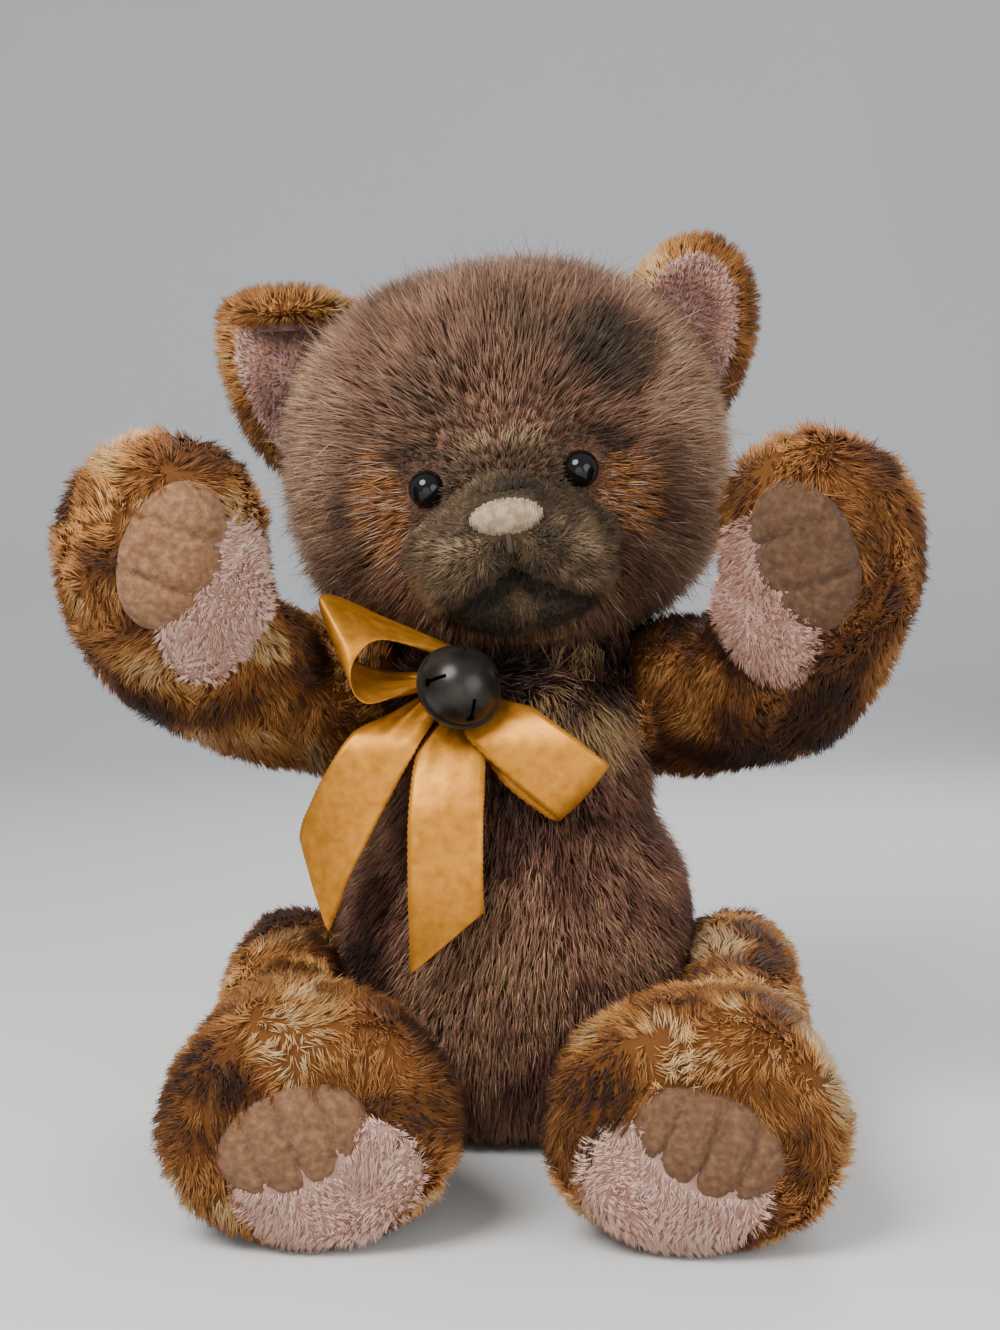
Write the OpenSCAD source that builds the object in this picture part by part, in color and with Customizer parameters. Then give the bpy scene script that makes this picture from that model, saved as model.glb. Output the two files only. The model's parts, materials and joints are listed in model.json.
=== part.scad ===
// Jointed teddy bear, seated, about 330 mm tall to the ear tips, with a ribbon bow and a jingle bell.
// Millimetres, +Z up. The bear looks along -Y, so its own right side is on -X.
// Shapes are drawn about the middle of the torso and moved into the frame by in_frame().

/* [Body] */
// Height of the neck joint above the seat
neck_z = 178; // [174:1:184]
// Half width of the torso between the two hip joints
hip_x = 62; // [58:0.5:66]
// Half width of the torso between the two shoulder joints
shoulder_x = 44; // [42:0.5:47]
// How far the head leans over, in degrees
head_lean = 7.5; // [0:0.5:12]
// Thickness of every fabric shell
fabric = 2; // [1.5:0.1:3]

/* [Limbs] */
// Height of the shoulder joints
shoulder_z = 154; // [150:1:156]
// How far the shoulder joints lie behind the middle of the torso
shoulder_y = -3; // [-6:1:0]
// Height of the hip joints
hip_z = 42; // [40:1:46]
// Distance from the middle of the torso to the right paw
paw_x_right = 115; // [110:1:120]
// Distance from the middle of the torso to the left paw
paw_x_left = 103; // [98:1:108]
// Distance from the middle of the torso to each foot
foot_x = 59; // [56:1:62]
// Distance from the middle of the torso forward to the soles
sole_y = 168; // [160:1:176]

/* [Joint hardware] */
// Radius of the fibreboard joint discs at the neck and the hips
disc_r = 13; // [12:0.5:14]
// Radius of the smaller discs at the shoulders
shoulder_disc_r = 11; // [10:0.5:11.5]
// Thickness of the joint discs
disc_t = 3; // [2.5:0.1:4]
// Radius of the joint stem
stem_r = 3; // [2.5:0.1:4]
// Radial clearance of the stem in its disc
stem_play = 0.05; // [0.02:0.01:0.09]
// Gap between two fabric faces at a joint
joint_gap = 0.3; // [0.2:0.05:0.5]

/* [Trim] */
// Width of the satin ribbon
ribbon_w = 25; // [22:1:26]
// Radius of the jingle bell
bell_r = 14.2; // [13:0.1:15]
// Wall of the jingle bell
bell_wall = 0.8; // [0.6:0.1:1]
// Radius of each eye
eye_r = 6; // [5:0.5:7]

/* [Hidden] */
$fn = 48;
round_n = 20;          // points round a limb section
body_n = 24;           // points round a torso or head section
steps = 2;             // rings between two hand-set stations
frame_shift = [7.7, 51.9, 0];
neck = [5, 0, neck_z];
bell_c = [-17, -76, 164.5];
bell_lean = 25;        // the bell's slotted side looks up this far
bell_turn = 25;        // and this far towards the bear's left
shank_y = 3;           // length of the bell's shank

// ---------------------------------------------------------------- lofting

// Point at t between stations p1 and p2 of a smooth curve through p0 to p3
function curve(p0, p1, p2, p3, t) =
  0.5 * (2 * p1 + (p2 - p0) * t + (2 * p0 - 5 * p1 + 4 * p2 - p3) * t * t
         + (3 * p1 - p0 - 3 * p2 + p3) * t * t * t);

// All stations, with `steps` rings for each gap between two of them
function smoothed(s) = [
  for (i = [0 : len(s) - 2])
    for (k = [0 : steps - 1])
      curve(s[max(i - 1, 0)], s[i], s[i + 1], s[min(i + 2, len(s) - 1)], k / steps),
  s[len(s) - 1]
];

function unit(v) = v / norm(v);

// Signed power, which squares a round section up as e falls below 1
function bulge(v, e) = sign(v) * pow(abs(v), e);

// Ring about c, half width a along u, and half heights b_up and b_down along v
function ring(c, u, v, a, b_up, b_down, n, e = 1) = [
  for (i = [0 : n - 1])
    let (ca = bulge(cos(360 * i / n), e), sa = bulge(sin(360 * i / n), e))
    c + u * a * ca + v * (sa > 0 ? b_up : b_down) * sa
];

// Closed solid through rings of equal length, with a point at each end
module loft(rings, first, last) {
  n = len(rings[0]);
  m = len(rings);
  points = [first, for (r = rings) each r, last];
  end = len(points) - 1;
  faces = [
    for (i = [0 : n - 1]) [0, 1 + i, 1 + (i + 1) % n],
    for (j = [0 : m - 2])
      for (i = [0 : n - 1])
        let (p = 1 + j * n + i, q = 1 + j * n + (i + 1) % n)
        each [[p, p + n, q], [q, p + n, q + n]],
    for (i = [0 : n - 1]) [end, end - n + (i + 1) % n, end - n + i]
  ];
  polyhedron(points, faces);
}

module in_frame() translate(frame_shift) children();
module in_head() in_frame() translate(neck) rotate([0, -head_lean, 0]) children();
// side is -1 for the bear's right and 1 for its left
module on_side(side) in_frame() mirror([side < 0 ? 1 : 0, 0, 0]) children();

// ---------------------------------------------------------------- shapes

// Torso stations: height, half width, front, back, lean of the ring
torso_stations = [
  [0, 36, 36, 34, 0], [7, 54, 56, 50, 0], [24, 67, 70, 58, 0], [50, 68, 75, 60, 0],
  [76, 66, 73, 60, 0], [100, 59, 66, 57, 0], [125, 53, 57, 52, 0], [148, 49, 50, 46, 0],
  [165, 47, 41, 40, 0], [171, 35.5, 31, 32, -3],
  [neck_z - joint_gap / 2 - neck[0] * tan(head_lean), 26, 26, 26, -head_lean]
];
// Widest the torso may be at height z, so that the joint faces are flat
function torso_side(z) = z < 84 ? hip_x : z < 112 ? hip_x - (z - 84) * (hip_x - shoulder_x) / 28 : shoulder_x;
function torso_ring(s, g) = [
  for (p = ring([0, 0, 0], [1, 0, 0], [0, 1, 0], s[1] + g, s[3] + g, s[2] + g, body_n, 0.92))
    let (x = min(max(p[0], -torso_side(s[0]) - g), torso_side(s[0]) + g))
    [x * cos(s[4]), p[1], max(s[0], -g) - x * sin(s[4]) + (s[0] > 165 ? g : 0)]
];
module torso_solid(g = 0) {
  s = smoothed(torso_stations);
  rings = [for (t = s) torso_ring(t, g)];
  loft(rings, [0, 0, -g], [0, 0, torso_stations[len(torso_stations) - 1][0] + g]);
}

// Head stations: height over the neck joint, half width, front, back
head_stations = [
  [joint_gap / 2, 25, 25, 25], [6, 38, 38, 36], [14, 53, 51, 49], [27, 67, 60, 58],
  [44, 74, 65, 62], [62, 76, 65, 65], [82, 75, 62, 66], [100, 69, 56, 62],
  [116, 57, 45, 52], [127, 40, 31, 38], [132, 20, 15, 20]
];
module head_solid(g = 0) {
  rings = [
    for (s = smoothed(head_stations))
      ring([0, 0, max(s[0], joint_gap / 2 - g) + (s[0] > 131 ? g : 0)],
           [1, 0, 0], [0, 1, 0], s[1] + g, s[3] + g, s[2] + g, body_n)
  ];
  loft(rings, [0, 0, joint_gap / 2 - g], [0, 0, 133.5 + g]);
}

// Arm stations: place, ring direction, radius across, radius front to back
function arm_stations(px) = [
  [[shoulder_x + joint_gap, shoulder_y, shoulder_z + 2], [1, 0, 0], 24, 24],
  [[54, -10, shoulder_z + 3], [0.9, -0.4, 0], 26, 26],
  [[74, -32, 160], [0.75, -0.6, 0.2], 25, 25],
  [[91, -55, 166], [0.6, -0.5, 0.6], 26, 26],
  [[px - 6, -74, 181], [0.3, -0.35, 0.9], 29, 29],
  [[px, -85, 200], [0.03, -0.2, 1], px > 110 ? 32.5 : 29, 31],
  [[px, -90, 222], [0, -0.1, 1], px > 110 ? 32 : 29.5, 30],
  [[px - 2, -92, 237], [-0.05, 0, 1], 23, 23],
  [[px - 3, -92, 245], [0, 0, 1], 10, 10]
];
module arm_solid(px, g = 0) {
  st = arm_stations(px);
  across = smoothed([for (s = st) [s[2], s[3]]]);
  dirs = smoothed([for (s = st) s[1]]);
  places = smoothed([for (s = st) s[0]]);
  rings = [
    for (i = [0 : len(places) - 1])
      let (d = unit(dirs[i]), u = unit(cross([0, 1, 0], d)), v = cross(d, u))
      [for (p = ring(places[i], u, v, across[i][0] + g, across[i][1] + g, across[i][1] + g, round_n))
         [max(p[0], shoulder_x + joint_gap - g), p[1], p[2]]]
  ];
  loft(rings, st[0][0] - [g, 0, 0], st[len(st) - 1][0] + [0, 0, 2 + g]);
}

// Leg stations: place, half width, half height; the rings face forward
leg_stations = [
  [[82, 24, hip_z], 9, 14], [[81, 14, hip_z], 17, 26], [[81, -4, hip_z - 1], 21, 32],
  [[81, -30, hip_z - 1], 21, 32], [[79, -66, 39], 21, 29], [[73, -98, 38], 26, 29],
  [[63, -122, 38], 37, 34], [[foot_x, -143, 37], 43.5, 35.5],
  [[foot_x, 8 - sole_y, 36], 42, 34], [[foot_x, 2.5 - sole_y, 35], 32, 26]
];
module leg_solid(g = 0) {
  size = smoothed([for (s = leg_stations) [s[1], s[2]]]);
  places = smoothed([for (s = leg_stations) s[0]]);
  limit = hip_x + joint_gap - g;
  rings = [
    for (i = [0 : len(places) - 1])
      let (thigh = places[i][1] > -82)
      [for (p = ring(places[i], [1, 0, 0], [0, 0, 1], size[i][0] + g, size[i][1] + g,
                     size[i][1] + g, round_n, thigh ? 0.8 : 0.95))
         [thigh ? max(p[0], limit) : p[0], p[1], p[2]]]
  ];
  loft(rings, [82, 28 + g, hip_z], [foot_x, -sole_y - g, 35]);
}

// Egg about the origin, longest along -Y: half width, half height, front and back
module egg(a, b, front, back, n = 16) {
  k = 7;
  rings = [
    for (i = [1 : k - 1])
      let (t = 180 * i / k, d = cos(t) > 0 ? back : front)
      ring([0, d * cos(t), 0], [1, 0, 0], [0, 0, 1], a * sin(t), b * sin(t), b * sin(t), n)
  ];
  loft(rings, [0, back, 0], [0, -front, 0]);
}

// ---------------------------------------------------------------- joint hardware
// Each joint lies along +X from the origin, which is on the joint plane; the limb is on +X.

washer_t = 2;
stem_in = joint_gap + fabric + disc_t + washer_t + 1.5;   // how far the stem reaches into the torso
module joint_disc(r = disc_r) {
  translate([joint_gap / 2 + fabric + 0.1, 0, 0]) rotate([0, 90, 0]) cylinder(r = r, h = disc_t);
  translate([-stem_in, 0, 0]) rotate([0, 90, 0])
    cylinder(r = stem_r, h = stem_in + fabric + joint_gap + disc_t / 2);
}
module joint_washer(r = disc_r) rotate([0, -90, 0]) translate([0, 0, joint_gap / 2 + fabric + 0.1])
  difference() {
    cylinder(r = r, h = disc_t);
    translate([0, 0, -1]) cylinder(r = stem_r + stem_play, h = disc_t + 2);
  }
module lock_washer() rotate([0, -90, 0]) translate([0, 0, joint_gap / 2 + fabric + disc_t + 0.3])
  difference() {
    cylinder(r = stem_r * 2.6, h = washer_t);
    translate([0, 0, -1]) cylinder(r = stem_r, h = washer_t + 2);
  }
// Room for the hardware in the fabric and the stuffing
module stem_hole() translate([-30, 0, 0]) rotate([0, 90, 0]) cylinder(r = stem_r + 0.5, h = 60);
module hardware_room(r = disc_r) rotate([0, 90, 0]) translate([0, 0, -stem_in - 0.6])
  cylinder(r = r + 0.4, h = stem_in + 0.6 + fabric + disc_t + joint_gap + 0.5);
module at_shoulder(side) on_side(side)
  translate([shoulder_x + joint_gap / 2, shoulder_y, shoulder_z]) children();
module at_hip(side) on_side(side) translate([hip_x + joint_gap / 2, -8, hip_z]) children();
module at_neck() in_head() rotate([0, -90, 0]) children();

// ---------------------------------------------------------------- torso

module body_skin() color("#4a2f26") difference() {
  in_frame() torso_solid();
  in_frame() torso_solid(-fabric);
  for (side = [-1, 1]) {
    at_shoulder(side) stem_hole();
    at_hip(side) stem_hole();
  }
  at_neck() stem_hole();
}
module bag_solid(g = 0) in_frame() translate([0, 0, 22]) scale([1, 1, 0.55]) sphere(r = 30 + g);
module body_stuffing() color("ivory") difference() {
  in_frame() torso_solid(-fabric - 0.1);
  for (side = [-1, 1]) {
    at_shoulder(side) hardware_room(shoulder_disc_r);
    at_hip(side) hardware_room();
  }
  at_neck() hardware_room();
  bag_solid(0.2);
}
module pellet_bag() color("gainsboro") bag_solid();

// ---------------------------------------------------------------- head

eye_place = [26.5, -57.5, 57.5];
ear_c = [[-76, 6, 106], [73, 6, 107]];
ear_a = [27, 23];
ear_b = [36, 34];

module eye_hole(grow = 0) for (side = [-1, 1])
  translate([side * eye_place[0], eye_place[1], eye_place[2]]) rotate([90, 0, 0])
    translate([0, 0, -40]) cylinder(r = 1.6 + grow, h = 45);
module head_skin() color("#8b6a5c") difference() {
  in_head() head_solid();
  in_head() head_solid(-fabric);
  at_neck() stem_hole();
  in_head() eye_hole(0.1);
}
module head_stuffing() color("ivory") difference() {
  in_head() head_solid(-fabric - 0.1);
  at_neck() hardware_room();
  in_head() for (side = [-1, 1])
    translate([side * eye_place[0], eye_place[1] + 23, eye_place[2]]) rotate([90, 0, 0])
      cylinder(r = 8.3, h = 40);
}
// Muzzle stations: distance forward, middle height, half width, half height
muzzle_stations = [
  [48, 33, 36, 28], [60, 33, 36, 27], [70, 33, 33, 25], [79, 34, 27, 20], [85, 36, 17, 13]
];
module muzzle_solid() {
  rings = [
    for (s = smoothed(muzzle_stations))
      ring([0, -s[0], s[1]], [1, 0, 0], [0, 0, 1], s[2], s[3], s[3], round_n, 0.95)
  ];
  loft(rings, [0, -48, 33], [0, -87, 38]);
}
module muzzle() color("#7a6548") in_head() difference() {
  muzzle_solid();
  head_solid(0.05);
  translate([0, -62, 15]) egg(23.2, 10.2, 17.2, 20);
  for (side = [-1, 1]) translate([side * eye_place[0], eye_place[1] - 2, eye_place[2]])
    sphere(r = eye_r + 0.2);
}
module chin() color("#3c2418") in_head() difference() {
  translate([0, -62, 15]) egg(23, 10, 17, 16);
  head_solid(0.05);
}
module nose() color("#c9b193") in_head() difference() {
  translate([0, -85, 44]) egg(12, 6, 5.5, 5);
  muzzle_solid();
}
module mouth_stitch() color("#5a4330") in_head() difference() {
  translate([0, -84, 31]) cube([1.6, 6, 14], center = true);
  muzzle_solid();
  translate([0, -85, 44]) egg(12.1, 6.1, 5.6, 5);
}
module eye(side) color("#0b0a0a") in_head()
  translate([side * eye_place[0], eye_place[1], eye_place[2]]) rotate([90, 0, 0])
    difference() {
      union() {
        translate([0, 0, 2]) sphere(r = eye_r);
        translate([0, 0, -14]) cylinder(r = 1.5, h = 14);
      }
      rotate([-90, 0, 0]) translate([-side * eye_place[0], -eye_place[1], -eye_place[2]]) head_eye_seat();
    }
// The fabric presses against the back of the eye, apart from its stem hole
module head_eye_seat() difference() {
  head_solid(0.05);
  eye_hole(-0.1);
}
module eye_washer(side) color("white") in_head()
  translate([side * eye_place[0], eye_place[1] + 9, eye_place[2]]) rotate([90, 0, 0])
    difference() {
      cylinder(r = 6.5, h = 1.5);
      translate([0, 0, -1]) cylinder(r = 1.5, h = 4);
    }
module ear_at(i) in_head() translate(ear_c[i]) rotate([0, i == 0 ? -28 : 22, 0]) children();
module ear_back(i) color("#a8702f") difference() {
  ear_at(i) egg(ear_a[i], ear_b[i], 7, 9, 20);
  ear_at(i) translate([0, -9, -2]) egg(ear_a[i] - 5, ear_b[i] - 5, 10, 9, 20);
  in_head() head_solid(0.05);
}
module ear_lining(i) color("#b98f8a") difference() {
  ear_at(i) translate([0, -9, -2]) egg(ear_a[i] - 5.2, ear_b[i] - 5.2, 8, 8.8, 20);
  ear_at(i) translate([0, -14.5, -2]) egg(ear_a[i] - 3, ear_b[i] - 3, 10, 12, 20);
  in_head() head_solid(0.1);
}

// ---------------------------------------------------------------- limbs

module arm_skin(side, px) color("#7a4a22") difference() {
  on_side(side) arm_solid(px);
  on_side(side) arm_solid(px, -fabric);
  at_shoulder(side) stem_hole();
}
module arm_stuffing(side, px) color("ivory") difference() {
  on_side(side) arm_solid(px, -fabric - 0.1);
  at_shoulder(side) hardware_room(shoulder_disc_r);
}
// Outlines of the pads, seen from the front
module oval(c, a, b, turn) translate(c) rotate(turn) scale([a, b]) circle(r = 1, $fn = 28);
module palm_outline(px, g = 0) oval([px - 20, 194], 14 + g, 26 + g, 17);
module finger_outline(px) difference() {
  oval([px - 9, 209], 14, 23, 22);
  palm_outline(px, 0.4);
}
module pad_cut(depth) rotate([90, 0, 0]) linear_extrude(height = depth) children();
module palm_pad(side, px) color("#c9a39b") on_side(side) intersection() {
  difference() {
    arm_solid(px, 1.8);
    arm_solid(px, 0.05);
  }
  translate([0, -78, 0]) pad_cut(60) palm_outline(px);
}
module finger_pad(side, px) color("#9a6b48") on_side(side) intersection() {
  difference() {
    arm_solid(px, 1.8);
    arm_solid(px, 0.05);
  }
  translate([0, -78, 0]) pad_cut(60) finger_outline(px);
}
module leg_skin(side) color("#8a5626") difference() {
  on_side(side) leg_solid();
  on_side(side) leg_solid(-fabric);
  at_hip(side) stem_hole();
}
module leg_stuffing(side) color("ivory") difference() {
  on_side(side) leg_solid(-fabric - 0.1);
  at_hip(side) hardware_room();
}
module heel_outline(g = 0) oval([foot_x - 8, 23], 27 + g, 18 + g, -11);
module toe_outline() difference() {
  oval([foot_x + 3, 36], 22, 13, -24);
  heel_outline(0.4);
}
module heel_pad(side) color("#c9a39b") on_side(side) intersection() {
  difference() {
    leg_solid(1.8);
    leg_solid(0.05);
  }
  translate([0, 20 - sole_y, 0]) pad_cut(40) heel_outline();
}
module toe_pad(side) color("#9a6b48") on_side(side) intersection() {
  difference() {
    leg_solid(1.8);
    leg_solid(0.05);
  }
  translate([0, 20 - sole_y, 0]) pad_cut(40) toe_outline();
}

// ---------------------------------------------------------------- ribbon and bell

ribbon_t = 0.8;
module ribbon_neckband() color("#b9792f") in_head() translate([0, 0, -0.8])
  difference() {
    cylinder(r = 35.5, h = 4.8);
    translate([0, 0, -1]) cylinder(r = 34.5, h = 8);
  }
knot_c = [bell_c[0], -50, 166];
module ribbon_knot() color("#a86a26") difference() {
  in_frame() translate(knot_c) egg(8, 9, 6.5, 14);
  in_frame() torso_solid(0.1);
  in_head() translate([0, 0, -4]) cylinder(r = 35.6, h = 12);
  in_head() head_solid(0.3);
}
// Strip between stations of place and half-width direction, t thick front to back
module strip(stations, t) {
  s = stations;
  rings = [
    for (p = s)
      [p[0] + p[1] * ribbon_w / 2 + [0, t / 2, 0], p[0] - p[1] * ribbon_w / 2 + [0, t / 2, 0],
       p[0] - p[1] * ribbon_w / 2 - [0, t / 2, 0], p[0] + p[1] * ribbon_w / 2 - [0, t / 2, 0]]
  ];
  loft(rings, s[0][0], s[len(s) - 1][0]);
}
// The loops and tails start just off the knot
module bow_loop_right() color("#b9792f") in_frame()
  strip([[[-33, -63, 164], [0.1, 0, 0.36]], [[-41, -72, 169], [0.15, 0, 0.85]],
         [[-58, -76, 176], [0.3, 0, 0.95]]], 7);
module bow_loop_left() color("#b9792f") in_frame()
  strip([[[-6, -60, 154], [-0.25, 0, -0.4]], [[8, -70, 145], [-0.5, 0, -0.85]],
         [[24, -76, 131], [-0.65, 0, -0.76]]], 7);
module ribbon_tail_right() color("#b9792f") in_frame()
  strip([[[-30, -55, 155], [-0.5, 0, -0.3]], [[-38.5, -67.5, 138], [-0.85, 0, -0.5]],
         [[-50, -76, 120], [-0.88, 0, -0.47]], [[-62, -74, 98], [-0.9, 0, -0.4]]], ribbon_t);
module ribbon_tail_left() color("#b9792f") in_frame()
  strip([[[-18, -62, 149], [-0.4, 0, 0]], [[-21, -74, 138], [-1, 0, 0]],
         [[-20, -84, 115], [-1, 0, 0]], [[-20, -87, 82], [-0.9, 0, -0.4]]], ribbon_t);

module at_bell() in_frame() translate(bell_c) rotate([0, 0, bell_turn]) rotate([90 - bell_lean, 0, 0]) children();
slot_reach = bell_r + 1.5;
module half_shell(up) difference() {
  rotate_extrude() difference() {
    intersection() {
      circle(r = bell_r);
      translate([0, up ? 0.1 : -bell_r]) square([bell_r, bell_r - 0.1]);
    }
    circle(r = bell_r - bell_wall);
  }
  // Four separate slots, each widening to a round hole at its outer end
  if (up) for (turn = [0, 90, 180, 270]) rotate([0, 0, turn]) {
    rotate([90, 0, 0]) translate([0, 0, -0.6]) linear_extrude(height = 1.2)
      polygon([[0, 0], [slot_reach * sin(38), slot_reach * cos(38)], [slot_reach * sin(70), slot_reach * cos(70)]]);
    rotate([0, 70, 0]) cylinder(r = 1.5, h = slot_reach);
  }
}
// The crimped rim that joins the halves belongs to the back shell
module bell_back_shell() color("#4a423b") at_bell() {
  half_shell(false);
  translate([0, 0, -0.6]) difference() {
    cylinder(r = bell_r + 0.9, h = 0.6);
    translate([0, 0, -1]) cylinder(r = bell_r - bell_wall, h = 3);
  }
}
module bell_front_shell() color("#4a423b") at_bell() half_shell(true);
module bell_shank() color("#4a423b") at_bell() difference() {
  translate([-0.8, 0, -bell_r - shank_y / 2]) rotate([0, 90, 0]) cylinder(r = 2.9, h = 1.6);
  translate([-2, 0, -bell_r - shank_y / 2]) rotate([0, 90, 0]) cylinder(r = 1.5, h = 4);
  sphere(r = bell_r);
}
module bell_pellet() color("#6e6a66") at_bell() translate([0, 0, -bell_r + bell_wall + 4]) sphere(r = 3);

// ---------------------------------------------------------------- nodes

body_skin();
body_stuffing();
pellet_bag();
color("#b08d57") at_neck() joint_washer();  // neck_washer
color("#b08d57") at_shoulder(-1) joint_washer(shoulder_disc_r);  // shoulder_washer_right
color("#b08d57") at_shoulder(1) joint_washer(shoulder_disc_r);  // shoulder_washer_left
color("#b08d57") at_hip(-1) joint_washer();  // hip_washer_right
color("#b08d57") at_hip(1) joint_washer();  // hip_washer_left
ribbon_neckband();
ribbon_knot();
bow_loop_right();
bow_loop_left();
ribbon_tail_right();
ribbon_tail_left();
head_skin();
head_stuffing();
muzzle();
chin();
nose();
mouth_stitch();
eye(-1);  // eye_right
eye(1);  // eye_left
eye_washer(-1);  // eye_washer_right
eye_washer(1);  // eye_washer_left
ear_back(0);  // ear_back_right
ear_back(1);  // ear_back_left
ear_lining(0);  // ear_lining_right
ear_lining(1);  // ear_lining_left
color("#b08d57") at_neck() joint_disc();  // neck_joint_disc
color("silver") at_neck() lock_washer();  // neck_lock_washer
arm_skin(-1, paw_x_right);  // arm_skin_right
arm_stuffing(-1, paw_x_right);  // arm_stuffing_right
palm_pad(-1, paw_x_right);  // palm_pad_right
finger_pad(-1, paw_x_right);  // finger_pad_right
color("#b08d57") at_shoulder(-1) joint_disc(shoulder_disc_r);  // shoulder_joint_disc_right
color("silver") at_shoulder(-1) lock_washer();  // shoulder_lock_washer_right
arm_skin(1, paw_x_left);  // arm_skin_left
arm_stuffing(1, paw_x_left);  // arm_stuffing_left
palm_pad(1, paw_x_left);  // palm_pad_left
finger_pad(1, paw_x_left);  // finger_pad_left
color("#b08d57") at_shoulder(1) joint_disc(shoulder_disc_r);  // shoulder_joint_disc_left
color("silver") at_shoulder(1) lock_washer();  // shoulder_lock_washer_left
leg_skin(-1);  // leg_skin_right
leg_stuffing(-1);  // leg_stuffing_right
heel_pad(-1);  // heel_pad_right
toe_pad(-1);  // toe_pad_right
color("#b08d57") at_hip(-1) joint_disc();  // hip_joint_disc_right
color("silver") at_hip(-1) lock_washer();  // hip_lock_washer_right
leg_skin(1);  // leg_skin_left
leg_stuffing(1);  // leg_stuffing_left
heel_pad(1);  // heel_pad_left
toe_pad(1);  // toe_pad_left
color("#b08d57") at_hip(1) joint_disc();  // hip_joint_disc_left
color("silver") at_hip(1) lock_washer();  // hip_lock_washer_left
bell_front_shell();
bell_back_shell();
bell_shank();
bell_pellet();
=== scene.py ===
"""Jointed teddy bear: the looks.

Every soft skin is a smooth form made from its CAD shell, with a pile of mesh strands on it. A strand
takes its colour from two numbers kept in its UVs: u is its tone, and v runs from root to tip. Shapes and
spots are placed in millimetres, in the torso's own axes or in the head's.
"""
import json
import math

import bmesh
import bpy
import numpy as np
from mathutils import Matrix, Vector
from mathutils.bvhtree import BVHTree


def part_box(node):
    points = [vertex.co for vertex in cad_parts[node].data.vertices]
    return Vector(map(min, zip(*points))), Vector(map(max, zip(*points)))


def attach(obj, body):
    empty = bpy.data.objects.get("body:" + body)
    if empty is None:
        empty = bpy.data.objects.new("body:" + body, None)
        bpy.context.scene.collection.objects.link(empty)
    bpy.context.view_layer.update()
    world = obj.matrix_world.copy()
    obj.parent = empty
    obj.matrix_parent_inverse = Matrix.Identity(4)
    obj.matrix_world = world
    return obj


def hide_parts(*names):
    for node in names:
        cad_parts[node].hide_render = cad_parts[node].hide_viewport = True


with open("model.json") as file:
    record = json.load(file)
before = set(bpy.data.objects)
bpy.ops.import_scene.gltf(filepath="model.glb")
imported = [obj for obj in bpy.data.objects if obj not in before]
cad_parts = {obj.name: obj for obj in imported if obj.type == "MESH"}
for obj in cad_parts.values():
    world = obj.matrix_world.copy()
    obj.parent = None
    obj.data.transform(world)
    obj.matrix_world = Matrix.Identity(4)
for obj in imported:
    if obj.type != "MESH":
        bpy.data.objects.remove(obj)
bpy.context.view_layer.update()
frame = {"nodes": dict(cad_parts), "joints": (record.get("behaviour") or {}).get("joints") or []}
NODES = frame["nodes"]
MM = 0.001
JOINTS = {j["name"]: j for j in frame["joints"]}

# ------------------------------------------------------------------ places
torso_low, torso_high = (np.array(c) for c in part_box("body_skin"))
BELLY_DEPTH = 75 * MM
# Middle of the torso, on the surface that the bear sits on
ORIGIN = np.array([(torso_low[0] + torso_high[0]) / 2, torso_low[1] + BELLY_DEPTH, 0.0])
NECK = np.array(JOINTS["neck_swivel"]["pos_m"])
NECK_AXIS = np.array(JOINTS["neck_swivel"]["axis"])
# Columns are the head's own right-to-left, back and up directions
HEAD_TURN = np.array([[NECK_AXIS[2], 0, -NECK_AXIS[0]], [0, 1, 0], NECK_AXIS]).T


def torso_mm(points):
    """Torso millimetres from frame metres."""
    return (np.asarray(points) - ORIGIN) / MM


def head_mm(points):
    """Millimetres in the head's own axes, from the neck joint."""
    return (np.asarray(points) - NECK) @ HEAD_TURN / MM


def from_torso(x, y, z):
    return ORIGIN + np.array([x, y, z]) * MM


def from_head(x, y, z):
    return NECK + HEAD_TURN @ (np.array([x, y, z]) * MM)


# ------------------------------------------------------------------ numpy helpers
def unit(v):
    return v / np.maximum(np.linalg.norm(v, axis=-1, keepdims=True), 1e-9)


def smoothstep(low, high, x):
    t = np.clip((x - low) / (high - low), 0, 1)
    return t * t * (3 - 2 * t)


def blob(p, centre, radii):
    """1 at the centre of an ellipsoid, 0 outside it."""
    d = np.linalg.norm((p - np.array(centre)) / np.array(radii), axis=-1)
    return 1 - smoothstep(0.55, 1.0, d)


def lattice(cells, seed):
    """A random number from 0 to 1 for each whole-number cell."""
    n = cells[..., 0] * 127.1 + cells[..., 1] * 311.7 + cells[..., 2] * 74.7 + seed * 53.3
    s = np.sin(n) * 43758.5453
    return s - np.floor(s)


def noise(p, scale, seed=0):
    """Smooth value noise from 0 to 1; scale is the size of a spot, in the units of p."""
    q = p / scale + 100
    i = np.floor(q)
    f = q - i
    f = f * f * (3 - 2 * f)
    total = 0
    for corner in np.ndindex(2, 2, 2):
        c = np.array(corner)
        weight = np.prod(np.where(c == 1, f, 1 - f), axis=-1)
        total = total + weight * lattice(i + c, seed)
    return total


# ------------------------------------------------------------------ mesh helpers
def new_object(name, verts, faces):
    mesh = bpy.data.meshes.new(name)
    mesh.from_pydata([tuple(v) for v in verts], [], [tuple(f) for f in faces])
    mesh.update()
    obj = bpy.data.objects.new(name, mesh)
    bpy.context.scene.collection.objects.link(obj)
    return obj


def smooth_shade(obj):
    obj.data.polygons.foreach_set("use_smooth", np.ones(len(obj.data.polygons), bool))


def apply_modifiers(obj):
    deps = bpy.context.evaluated_depsgraph_get()
    mesh = bpy.data.meshes.new_from_object(obj.evaluated_get(deps))
    obj.modifiers.clear()
    obj.data = mesh


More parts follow.
